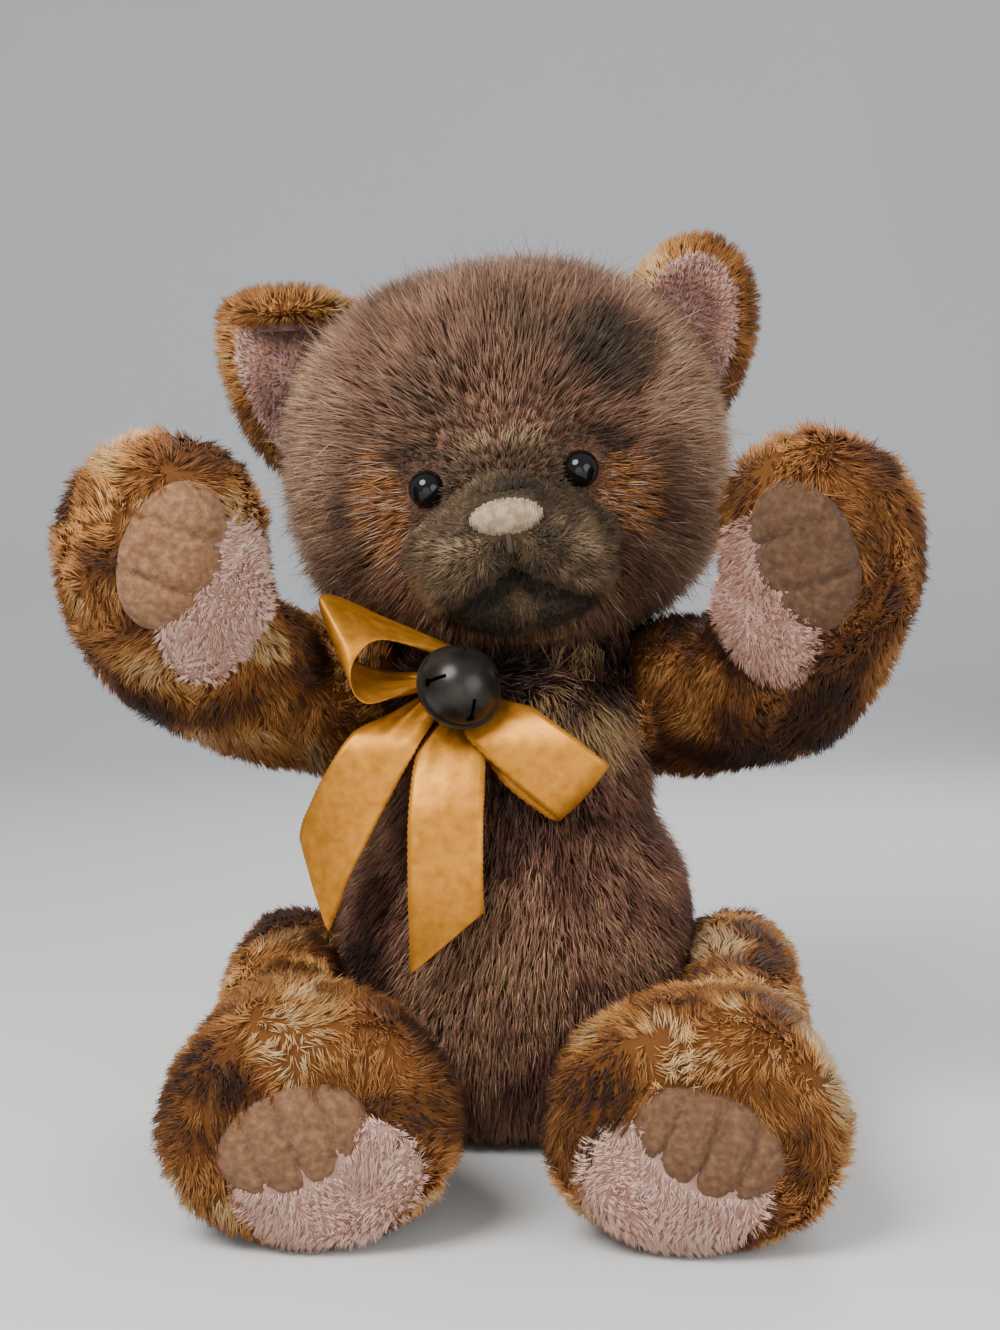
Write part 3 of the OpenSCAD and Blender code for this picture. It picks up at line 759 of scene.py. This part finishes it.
def torso_comb(p, n):
    """Down, apart from the ruff at the neck, which stands up."""
    q = torso_mm(p)
    way = np.zeros_like(q)
    way[:, 2] = -1 + 1.7 * smoothstep(158, 170, q[:, 2])
    way[:, 0] = 0.35 * np.sign(q[:, 0]) * smoothstep(10, 60, np.abs(q[:, 0]))
    way[:, 0] += 0.5 * (noise(q, 34, 24) - 0.5)
    way[:, 1] = -0.15
    return way


def make_torso():
    solids = ["body_skin", "body_stuffing", "neck_washer", "hip_washer_right", "hip_washer_left"]
    base = form("body_cloth", solids, 3.0, 5, swell=0.4)
    finish_piece(base, "torso", B_BODY, ["body_skin"])

    def keep(p, n):
        q = torso_mm(p)
        joint = np.zeros(len(q), bool)
        for name, radius in (("shoulder_right_swing", 15), ("shoulder_left_swing", 15),
                             ("hip_right_swing", 29), ("hip_left_swing", 29)):
            centre = torso_mm(np.array(JOINTS[name]["pos_m"]))
            joint |= np.linalg.norm(q - centre, axis=1) < radius
        return ~(joint | (q[:, 2] < 2.5) | (q[:, 2] > 178))

    def panel(p):
        q = torso_mm(p)
        return 2 * (q[:, 1] > 5) + (q[:, 0] > 0)

    def length(p):
        q = torso_mm(p)
        side = smoothstep(52, 60, np.abs(q[:, 0]))
        return 15.0 - 5.0 * side - 8.0 * smoothstep(14, 3, q[:, 2]) + 5.0 * smoothstep(142, 156, q[:, 2])

    pile("body_pile", base, "torso", M_BODY, 70000, length, torso_comb, torso_tone, 31,
         width=0.42, lay=1.0, droop=0.1, frizz=0.42, clump=5.5, gather=0.6, keep=keep, panels=4,
         panel_of=panel)


# ------------------------------------------------------------------ limbs and ears
# Cream tufts of a limb: place in torso mm, radii and how much lighter
TUFTS = {"leg_right": [((-64, -150, 63), (17, 26, 14), 0.40)],
         "leg_left": [((66, -150, 63), (15, 26, 14), 0.30), ((99, -138, 44), (17, 45, 27), 0.32),
                      ((74, -42, 68), (11, 24, 9), 0.60)],
         "arm_right": [((-122, -105, 226), (20, 34, 18), 0.25)]}


def limb_tone(body, seed, dark):
    """Caramel plush with dark and cream spots; dark moves the whole limb towards brown."""
    def tone(p):
        q = np.asarray(p) / MM
        tuft = sum(blob(torso_mm(p), *spot[:2]) * spot[2] for spot in TUFTS.get(body, ()))
        shade = 0.52 - dark + 0.9 * (noise(q, 19, seed) - 0.5) + 0.6 * (noise(q, 9, seed + 1) - 0.5)
        cream = smoothstep(0.66, 0.82, noise(q, 15, seed + 2))
        cream *= smoothstep(0.4, 0.6, noise(q, 7, seed + 3))
        return np.clip(shade + tuft + 0.42 * cream * max(1 - 3 * dark, 0), 0, 1)
    return tone


def tufted_comb(seed):
    def comb(p, n):
        q = np.asarray(p) / MM
        way = np.stack([noise(q, 15, seed + k) - 0.5 for k in range(3)], axis=1)
        return way + np.array([0, 0, -0.12])
    return comb


class Pad:
    """A puffy pad on a form, drawn in the X-Z plane. outline(angle) is its radius share of the ellipse."""

    def __init__(self, name, surface, centre, radii, turn, height, outline=None, grooves=(), rings=16,
                 spokes=72):
        c, s = math.cos(turn), math.sin(turn)
        verts, faces, normals = [], [], []
        grid = [(0, 0)] + [(r / rings, 2 * math.pi * k / spokes) for r in range(1, rings + 1)
                           for k in range(spokes)]
        for share, angle in grid:
            edge = outline(angle) if outline else 1.0
            u = share * edge * radii[0] * math.cos(angle)
            w = share * edge * radii[1] * math.sin(angle)
            x, z = centre[0] + (u * c - w * s) * MM, centre[1] + (u * s + w * c) * MM
            hit, normal, _, _ = surface.ray_cast(Vector((x, -1, z)), Vector((0, 1, 0)))
            if hit is None:
                hit, normal, _, _ = surface.find_nearest(Vector((x, torso_low[1], z)))
            puff = height * (1 - share ** 4) ** 0.5 + 0.15
            for place, direction, depth, breadth in grooves:
                off = abs((u - place[0]) * direction[0] + (w - place[1]) * direction[1])
                puff -= depth * math.exp(-(off / breadth) ** 2) * (1 if share < 0.98 else 0)
            verts.append(np.array(hit) + np.array(normal) * puff * MM)
            normals.append(np.array(normal))
        top = len(verts)
        verts += [v - n * (height + 1.2) * MM for v, n in zip(verts, normals)]
        for k in range(spokes):
            after = (k + 1) % spokes
            faces.append((0, 1 + k, 1 + after))
            faces.append((top, top + 1 + after, top + 1 + k))
            for r in range(rings - 1):
                a, b = 1 + r * spokes + k, 1 + r * spokes + after
                faces.append((a, a + spokes, b + spokes, b))
                faces.append((top + a, top + b, top + b + spokes, top + a + spokes))
            rim = 1 + (rings - 1) * spokes
            faces.append((rim + k, top + rim + k, top + rim + after, rim + after))
        self.obj = new_object(name, verts, faces)
        bm = bmesh.new()
        bm.from_mesh(self.obj.data)
        bmesh.ops.recalc_face_normals(bm, faces=bm.faces)
        bm.to_mesh(self.obj.data)
        bm.free()
        smooth_shade(self.obj)


def inside_ellipse(p, centre, radii, turn, grow=1.0):
    c, s = math.cos(turn), math.sin(turn)
    dx, dz = (p[:, 0] - centre[0]) / MM, (p[:, 2] - centre[1]) / MM
    u, w = dx * c + dz * s, -dx * s + dz * c
    return (u / (radii[0] * grow)) ** 2 + (w / (radii[1] * grow)) ** 2 < 1


def suede_material(name, shade):
    mat, nodes, links, shader = new_material(name, 0.85, Specular_IOR_Level=0.2, Sheen_Weight=0.1)
    cloth = [(0.3, (0.15, 0.066, 0.029)), (0.5, (0.22, 0.104, 0.049)), (0.7, (0.31, 0.160, 0.083))]
    # Painted shade: shade scales the whole suede, set per limb by how much light its pads get.
    tones = [(place, tuple(c * shade for c in colour)) for place, colour in cloth]
    spotted(nodes, links, shader, spots(nodes, links, 420, 8), tones)
    bumped(nodes, links, shader, spots(nodes, links, 1800), 0.6, 0.0004)
    return mat


# Painted shade: how light the same suede is made on each limb, for the light that falls on its pads
SUEDE_PAINTED_SHADE = {"arm_right": 0.85, "arm_left": 0.34, "leg_right": 0.66, "leg_left": 0.52}
# Pads of a left limb: place from the paw or sole middle, radii and turn, in mm and radians
PINK_FOOT = ((-8, 23), (28.5, 20.5), math.radians(-11))
TOES_FOOT = ((3, 36), (24, 15), math.radians(-24))
PINK_PAW = ((-20, 194), (15, 28), math.radians(17))
TOES_PAW = ((-8, 209), (15.5, 25), math.radians(22))


def mirrored(spec, side, middle):
    """A pad's place, radii and turn on either side, in frame metres."""
    (x, z), radii, turn = spec
    place = from_torso(side * (middle + x), 0, z)
    return (place[0], place[2]), radii, side * turn


def make_limb(kind, side_name, count, middle, pink, toes, dark, seed):
    """An arm or a leg: its plush, its pink pad and its suede toes. middle is the paw's or sole's x; dark
    makes the plush browner and puts painted shade on its pink pile.
    """
    side = 1 if side_name == "left" else -1
    body = f"{kind}_{side_name}"
    joint = "shoulder" if kind == "arm" else "hip"
    skin = f"{kind}_skin_{side_name}"
    base = form(f"{body}_cloth", [skin, f"{kind}_stuffing_{side_name}"], 2.6, 3, lumps=2.2, seed=seed,
                swell=1.2)
    finish_piece(base, body, B_LIMB, [skin])
    surface = bvh_of(base)
    pink_at = mirrored(pink, side, middle)
    toes_at = mirrored(toes, side, middle)
    names = ("heel_pad", "toe_pad") if kind == "leg" else ("palm_pad", "finger_pad")
    cushion = Pad(f"{names[0]}_{side_name}_cloth", surface, *pink_at, 2.2).obj
    finish_piece(cushion, body, B_PINK, [f"{names[0]}_{side_name}"])
    # On a dark limb the pink pile is darkened by 1.6 times dark: painted shade.
    pile(f"{names[0]}_{side_name}_pile", cushion, body, M_PINK, 9000, constant(5.2),
         tufted_comb(seed + 40), lambda p: 0.4 + 0.5 * noise(p / MM, 5, seed) - 1.6 * max(dark, 0),
         seed + 41, width=0.6, lay=0.5, droop=0.1, frizz=0.3, clump=2.6, gather=0.7, rings=2,
         keep=lambda p, n: (n[:, 1] < 0.2) & ~inside_ellipse(p, *toes_at, 0.86))
    across = (0, 1) if kind == "arm" else (1, 0)
    between = (-8.5, 8.5) if kind == "arm" else (-12, 0, 12)
    lines = [((along * across[0], along * across[1]), across, 2.2, 1.2) for along in between]

    def lobes(angle):
        """Scallops between the toes, along the edge that lies over the pink pad."""
        if kind == "arm":
            long, near = math.sin(angle), -side * math.cos(angle)
        else:
            long, near = math.cos(angle), -math.sin(angle)
        reach = max(toes_at[1]) * long
        dips = sum(math.exp(-((reach - along) / 2.2) ** 2) for along in between)
        return 1 - 0.10 * (near > 0) * dips

    toe = Pad(f"{names[1]}_{side_name}_suede", surface, *toes_at, 4.6, lobes, lines).obj
    suede = suede_material(f"suede_{body}", SUEDE_PAINTED_SHADE[body])
    finish_piece(toe, body, suede, [f"{names[1]}_{side_name}"])
    pivot = np.array(JOINTS[f"{joint}_{side_name}_swing"]["pos_m"])

    def keep(p, n):
        facing = n[:, 1] < -0.1
        pads = inside_ellipse(p, *pink_at, 0.93) | inside_ellipse(p, *toes_at, 0.93)
        flat = (np.abs(p[:, 0] - pivot[0]) < 2.5 * MM) & (np.abs(n[:, 0]) > 0.8)
        return ~((facing & pads) | flat | (p[:, 2] < 1.5 * MM))

    top = mesh_arrays(base)[0][:, 2].max()

    def length(p):
        if kind == "leg":
            return 8.0 - 3.5 * smoothstep(16 * MM, 4 * MM, p[:, 2])
        return 8.0 + 5.0 * smoothstep(30 * MM, 4 * MM, top - p[:, 2]) * noise(p / MM, 7, seed + 50)

    pile(f"{body}_pile", base, body, M_LIMB, count, length, tufted_comb(seed + 20),
         limb_tone(body, seed, dark), seed + 30, width=0.65, lay=0.75, droop=0.25, frizz=0.3, clump=4.5,
         gather=0.6, rings=2, keep=keep, panels=2,
         panel_of=lambda p: (p[:, 0] > pivot[0] + side * 28 * MM).astype(int))


# Middle of each ear in head mm, and its outward tilt in degrees
EAR_CENTRE = {"right": np.array([-76.0, 6, 106]), "left": np.array([73.0, 6, 107])}
EAR_TILT = {"right": 6, "left": 22}


def shape_ear(obj, side_name):
    """Draw the ear out a little; the right one also curls forward and down at its top."""
    q = head_mm(mesh_arrays(obj)[0])
    centre = EAR_CENTRE[side_name]
    tilt = math.radians(EAR_TILT[side_name])
    across = np.array([math.cos(tilt), 0, -math.sin(tilt)])
    along = np.array([math.sin(tilt), 0, math.cos(tilt)])
    d = q - centre
    u, v, front = d @ across, d @ along, -d[:, 1]
    v = v * np.where(v < 0, 1.45, 1.04) + (7 if side_name == "right" else -1)
    u = u * 1.06 + (5 if side_name == "right" else 0)
    if side_name == "right":
        bend, radius = 19.0, 8.5
        turn = np.maximum(v - bend, 0) / radius
        arm = radius - front
        front = np.where(v > bend, radius - arm * np.cos(turn), front)
        v = np.where(v > bend, bend + arm * np.sin(turn), v)
    q = centre + u[:, None] * across + v[:, None] * along
    q[:, 1] = centre[1] - front
    set_head_mm(obj, q)


def make_ear(side_name, seed):
    base = form(f"ear_{side_name}_cloth", [f"ear_back_{side_name}"], 1.6, 4)
    shape_ear(base, side_name)
    finish_piece(base, "head", B_LIMB, [f"ear_back_{side_name}"])
    lining = form(f"ear_lining_{side_name}_cloth", [f"ear_lining_{side_name}"], 1.2, 3)
    shape_ear(lining, side_name)
    finish_piece(lining, "head", B_LINING, [f"ear_lining_{side_name}"])
    middle = from_head(*EAR_CENTRE[side_name])

    def comb(p, n):
        return unit(p - middle) + np.array([0, 0.3, -0.2])

    def tone(p):
        q = np.asarray(p) / MM
        shade = 0.62 + 0.7 * (noise(q, 12, seed) - 0.5) + 0.4 * (noise(q, 6, seed + 1) - 0.5)
        return np.clip(shade, 0, 0.97)

    def lining_tone(p):
        """Darker in the cup of the ear."""
        q = head_mm(p) - EAR_CENTRE[side_name]
        return 0.72 - 0.55 * blob(q, (0, -8, 2), (15, 30, 22)) + 0.3 * (noise(q, 7, seed + 5) - 0.5)

    pile(f"ear_{side_name}_pile", base, "head", M_LIMB, 13000, constant(8), comb, tone, seed + 2,
         width=0.6, lay=0.7, droop=0.1, frizz=0.3, clump=3.6, gather=0.55, rings=2)
    pile(f"ear_lining_{side_name}_pile", lining, "head", M_LINING, 7000, constant(5), comb,
         lining_tone, seed + 6, width=0.55, lay=0.8, droop=0.1, frizz=0.25, clump=2.6, gather=0.55, rings=2,
         keep=lambda p, n: n[:, 1] < 0.1)


# ------------------------------------------------------------------ eyes, nose, bell and hidden parts
def assign(node, material):
    obj = NODES[node]
    for slot in obj.material_slots:
        slot.material = material
    if not obj.material_slots:
        obj.data.materials.append(material)


def make_hardware():
    glass, _, _, _ = new_material("eye_glaze", 0.06, Base_Color=(0.004, 0.004, 0.004, 1),
                                  Specular_IOR_Level=0.28)
    for side_name, place in zip(("right", "left"), EYES):
        mesh = bpy.data.meshes.new("eye_ball")
        bm = bmesh.new()
        bmesh.ops.create_uvsphere(bm, u_segments=40, v_segments=24, radius=EYE_R * MM)
        bm.to_mesh(mesh)
        bm.free()
        eye = bpy.data.objects.new(f"eye_{side_name}_ball", mesh)
        bpy.context.scene.collection.objects.link(eye)
        mesh.transform(Matrix.Translation(from_head(*place)))
        smooth_shade(eye)
        finish_piece(eye, "head", glass, [f"eye_{side_name}"])
    board, nodes, links, shader = new_material("joint_board", 0.7)
    grain = nodes.new("ShaderNodeTexNoise")
    grain.inputs["Scale"].default_value = 700
    brown = [(0.3, (0.20, 0.12, 0.06)), (0.7, (0.36, 0.24, 0.13))]
    spotted(nodes, links, shader, grain.outputs[0], brown)
    steel, _, _, _ = new_material("washer_steel", 0.35, Base_Color=(0.6, 0.6, 0.6, 1), Metallic=1.0)
    white, _, _, _ = new_material("white_plastic", 0.5, Base_Color=(0.8, 0.8, 0.78, 1))
    wool, _, _, _ = new_material("stuffing", 0.95, Base_Color=(0.85, 0.83, 0.78, 1), Sheen_Weight=0.4)
    for node in NODES:
        if "lock_washer" in node:
            assign(node, steel)
        elif "eye_washer" in node:
            assign(node, white)
        elif "stuffing" in node or node == "pellet_bag":
            assign(node, wool)
        elif "washer" in node or "joint_disc" in node:
            assign(node, board)


def make_bell():
    metal, nodes, links, shader = new_material("bell_metal", 0.30, Metallic=0.5, Specular_IOR_Level=0.35)
    bronze = [(0.35, (0.014, 0.011, 0.009)), (0.6, (0.026, 0.021, 0.017)), (0.8, (0.06, 0.042, 0.027))]
    spotted(nodes, links, shader, spots(nodes, links, 90, 8), bronze)
    for node in ("bell_front_shell", "bell_back_shell", "bell_shank", "bell_pellet"):
        assign(node, metal)


def make_nose():
    """Satin stitches laid upright over a low oval."""
    mat, nodes, links, shader = new_material("nose_thread", 0.55, Sheen_Weight=0.2)
    beige = [(0.38, (0.19, 0.130, 0.076)), (0.62, (0.34, 0.245, 0.142))]
    spotted(nodes, links, shader, spots(nodes, links, 420), beige)
    half_w, half_h, rise, stitches, sides, steps = 12.2, 6.3, 5.0, 30, 8, 14
    verts, faces = [], []
    for s in range(stitches):
        x = half_w * (-1 + (2 * s + 1) / stitches)
        reach = half_h * math.sqrt(max(1 - (x / half_w) ** 2, 0.04)) + 0.25 * math.sin(s * 2.4)
        start = len(verts)
        for k in range(steps + 1):
            t = math.pi * k / steps
            z = NOSE[2] + reach * math.cos(t)
            y = NOSE[1] + 3.4 - rise * math.sin(t) * math.sqrt(max(1 - (x / (half_w + 1.2)) ** 2, 0))
            for c in range(sides):
                a = 2 * math.pi * c / sides
                verts.append(from_head(x + 0.52 * math.cos(a), y + 0.4 * math.sin(a), z))
        for k in range(steps):
            for c in range(sides):
                a, b = start + k * sides + c, start + k * sides + (c + 1) % sides
                faces.append((a, b, b + sides, a + sides))
        faces.append(tuple(start + c for c in reversed(range(sides))))
        faces.append(tuple(start + steps * sides + c for c in range(sides)))
    obj = new_object("nose_stitches", verts, faces)
    smooth_shade(obj)
    finish_piece(obj, "head", mat, ["nose"])


def make_mouth_stitch():
    """One thick thread from the nose down to the middle of the mouth."""
    thread, _, _, _ = new_material("mouth_thread", 0.8, Base_Color=(0.035, 0.018, 0.010, 1))
    rings = [(38.5, 0.4), (37.5, 1.0), (35, 1.1), (32.5, 1.0), (31.5, 0.3)]
    sides = 10
    verts = [from_head(r * math.cos(a), NOSE[1] - 0.6 + 0.7 * r * math.sin(a) + (38 - z) * 0.12, z)
             for z, r in rings for a in np.linspace(0, 2 * math.pi, sides, endpoint=False)]
    faces = [(sides * i + c, sides * i + (c + 1) % sides, sides * (i + 1) + (c + 1) % sides,
              sides * (i + 1) + c) for i in range(len(rings) - 1) for c in range(sides)]
    last = sides * (len(rings) - 1)
    faces += [tuple(reversed(range(sides))), tuple(range(last, last + sides))]
    stitch = new_object("mouth_stitch_thread", verts, faces)
    smooth_shade(stitch)
    finish_piece(stitch, "head", thread, ["mouth_stitch"])


# ------------------------------------------------------------------ ribbon
RIBBON_W = 25.0


def satin_material():
    mat, nodes, links, shader = new_material("satin", 0.40, Anisotropic=0.5, Metallic=0.55,
                                             Specular_IOR_Level=0.25, Specular_Tint=(1, 0.70, 0.36, 1))
    gold = [(0.3, (0.36, 0.135, 0.012)), (0.7, (0.52, 0.215, 0.028))]
    spotted(nodes, links, shader, spots(nodes, links, 260, 5), gold)
    coords = nodes.new("ShaderNodeTexCoord")
    rib = nodes.new("ShaderNodeTexWave")
    rib.inputs["Scale"].default_value = 900
    links.new(coords.outputs["Object"], rib.inputs["Vector"])
    bumped(nodes, links, shader, rib.outputs[0], 0.12, 0.0002)
    return mat


M_SATIN = satin_material()


def spline(points, count):
    """Points of a smooth curve through the given rows, evenly spaced along their number."""
    p = np.array(points, float)
    t = np.linspace(0, len(p) - 1, count)
    i = np.minimum(t.astype(int), len(p) - 2)
    f = (t - i)[:, None]
    p0, p1 = p[np.maximum(i - 1, 0)], p[i]
    p2, p3 = p[i + 1], p[np.minimum(i + 2, len(p) - 1)]
    return 0.5 * (2 * p1 + (p2 - p0) * f + (2 * p0 - 5 * p1 + 4 * p2 - p3) * f ** 2
                  + (3 * p1 - p0 - 3 * p2 + p3) * f ** 3)


def ribbon(name, rows, node, cut=0.0, belly=0.6, count=90, across=14):
    """A strip of satin. rows are (x, y, z, wx, wy, wz): place in torso mm, and half-width direction."""
    data = spline(rows, count)
    middle, wide = data[:, :3], unit(data[:, 3:6])
    squeeze = np.clip(np.linalg.norm(data[:, 3:6], axis=1), 0.15, 1)
    length = np.linalg.norm(np.diff(middle, axis=0), axis=1).sum()
    tangent = unit(np.gradient(middle, axis=0))
    normal = unit(np.cross(wide, tangent))
    verts, faces = [], []
    for i in range(count):
        for k in range(across + 1):
            u = 2 * k / across - 1
            picot = 0.35 * (abs(u) > 0.99) * (i % 2)
            slant = cut * u * smoothstep(0.0, 1.0, np.array(i / (count - 1)))
            gather = (1 - squeeze[i]) * 3.0 * math.cos(u * 9)
            place = (middle[i] + wide[i] * u * (RIBBON_W / 2 * squeeze[i] + picot) + tangent[i] * slant
                     + normal[i] * (belly * (1 - u * u) + gather))
            verts.append(from_torso(*place))
    for i in range(count - 1):
        for k in range(across):
            a = i * (across + 1) + k
            faces.append((a, a + 1, a + across + 2, a + across + 1))
    obj = new_object(name, verts, faces)
    solid = obj.modifiers.new("thickness", "SOLIDIFY")
    solid.thickness = 0.35 * MM
    solid.offset = 0
    apply_modifiers(obj)
    smooth_shade(obj)
    finish_piece(obj, "torso", M_SATIN, [node] if node else [])
    return obj


def make_ribbon():
    ribbon("bow_tail_left", [(-18, -60, 152, -0.5, 0, 0.0), (-20, -74, 143, -0.9, 0, 0.0),
                             (-21, -84, 124, -1, 0, 0.02), (-21, -88, 102, -1, 0.02, 0.03),
                             (-20.5, -88, 79, -1, 0, 0.03)], "ribbon_tail_left", cut=11)
    ribbon("bow_tail_right", [(-27, -60, 160, -0.3, 0, -0.1), (-34, -67, 154, -0.7, 0, 0),
                              (-43, -75, 145, -1, 0, 0.05), (-53, -78, 128, -1, 0.1, 0.12),
                              (-62, -77, 110, -0.85, 0.45, 0.3), (-67, -74, 96, -0.7, 0.55, 0.4)],
           "ribbon_tail_right", cut=-11)
    ribbon("bow_loop_left_satin", [(-9, -62, 157, -0.5, 0, -0.2), (-3, -74, 152, -0.9, 0, -0.4),
                                   (11, -81, 141, -0.8, 0, -0.6), (22, -82, 132, -0.68, 0, -0.73),
                                   (25.5, -78, 129, -0.66, 0, -0.75), (20, -73, 130, -0.66, 0, -0.75),
                                   (6, -69, 140, -0.7, 0, -0.65), (-9, -60, 153, -0.4, 0, -0.3)],
           "bow_loop_left", belly=1.0)
    # Near edge and width of the loop at each place round it: it opens towards the bell
    near = [(-19, -56, 174), (-43, -74, 180.5), (-52, -80, 174), (-53, -82, 165), (-47, -80, 159),
            (-31, -66, 163)]
    width = [(-3, 6, 1), (-10, 19, 11), (-12.5, 7, 20.5), (-7, 20, 12.5), (1, 22, 10), (4, 9, 4)]
    rows = []
    for place, span in zip(near, width):
        middle = np.array(place) + np.array(span) / 2
        rows.append((*middle, *(np.array(span) / RIBBON_W)))
    ribbon("bow_loop_right_satin", rows, "bow_loop_right", belly=0.3)


def make_knot():
    knot = form("ribbon_knot_satin", ["ribbon_knot"], 1.2, 4)
    finish_piece(knot, "torso", M_SATIN, ["ribbon_knot"])
    assign("ribbon_neckband", M_SATIN)


stage_scene()
make_hardware()
make_bell()
make_nose()
make_mouth_stitch()
make_head()
make_torso()
make_limb("arm", "right", 34000, 115, PINK_PAW, TOES_PAW, 0.0, 101)
make_limb("arm", "left", 34000, 103, PINK_PAW, TOES_PAW, 0.20, 202)
make_limb("leg", "right", 42000, 59, PINK_FOOT, TOES_FOOT, 0.0, 303)
make_limb("leg", "left", 42000, 59, PINK_FOOT, TOES_FOOT, -0.04, 404)
make_ear("right", 505)
make_ear("left", 606)
make_ribbon()
make_knot()
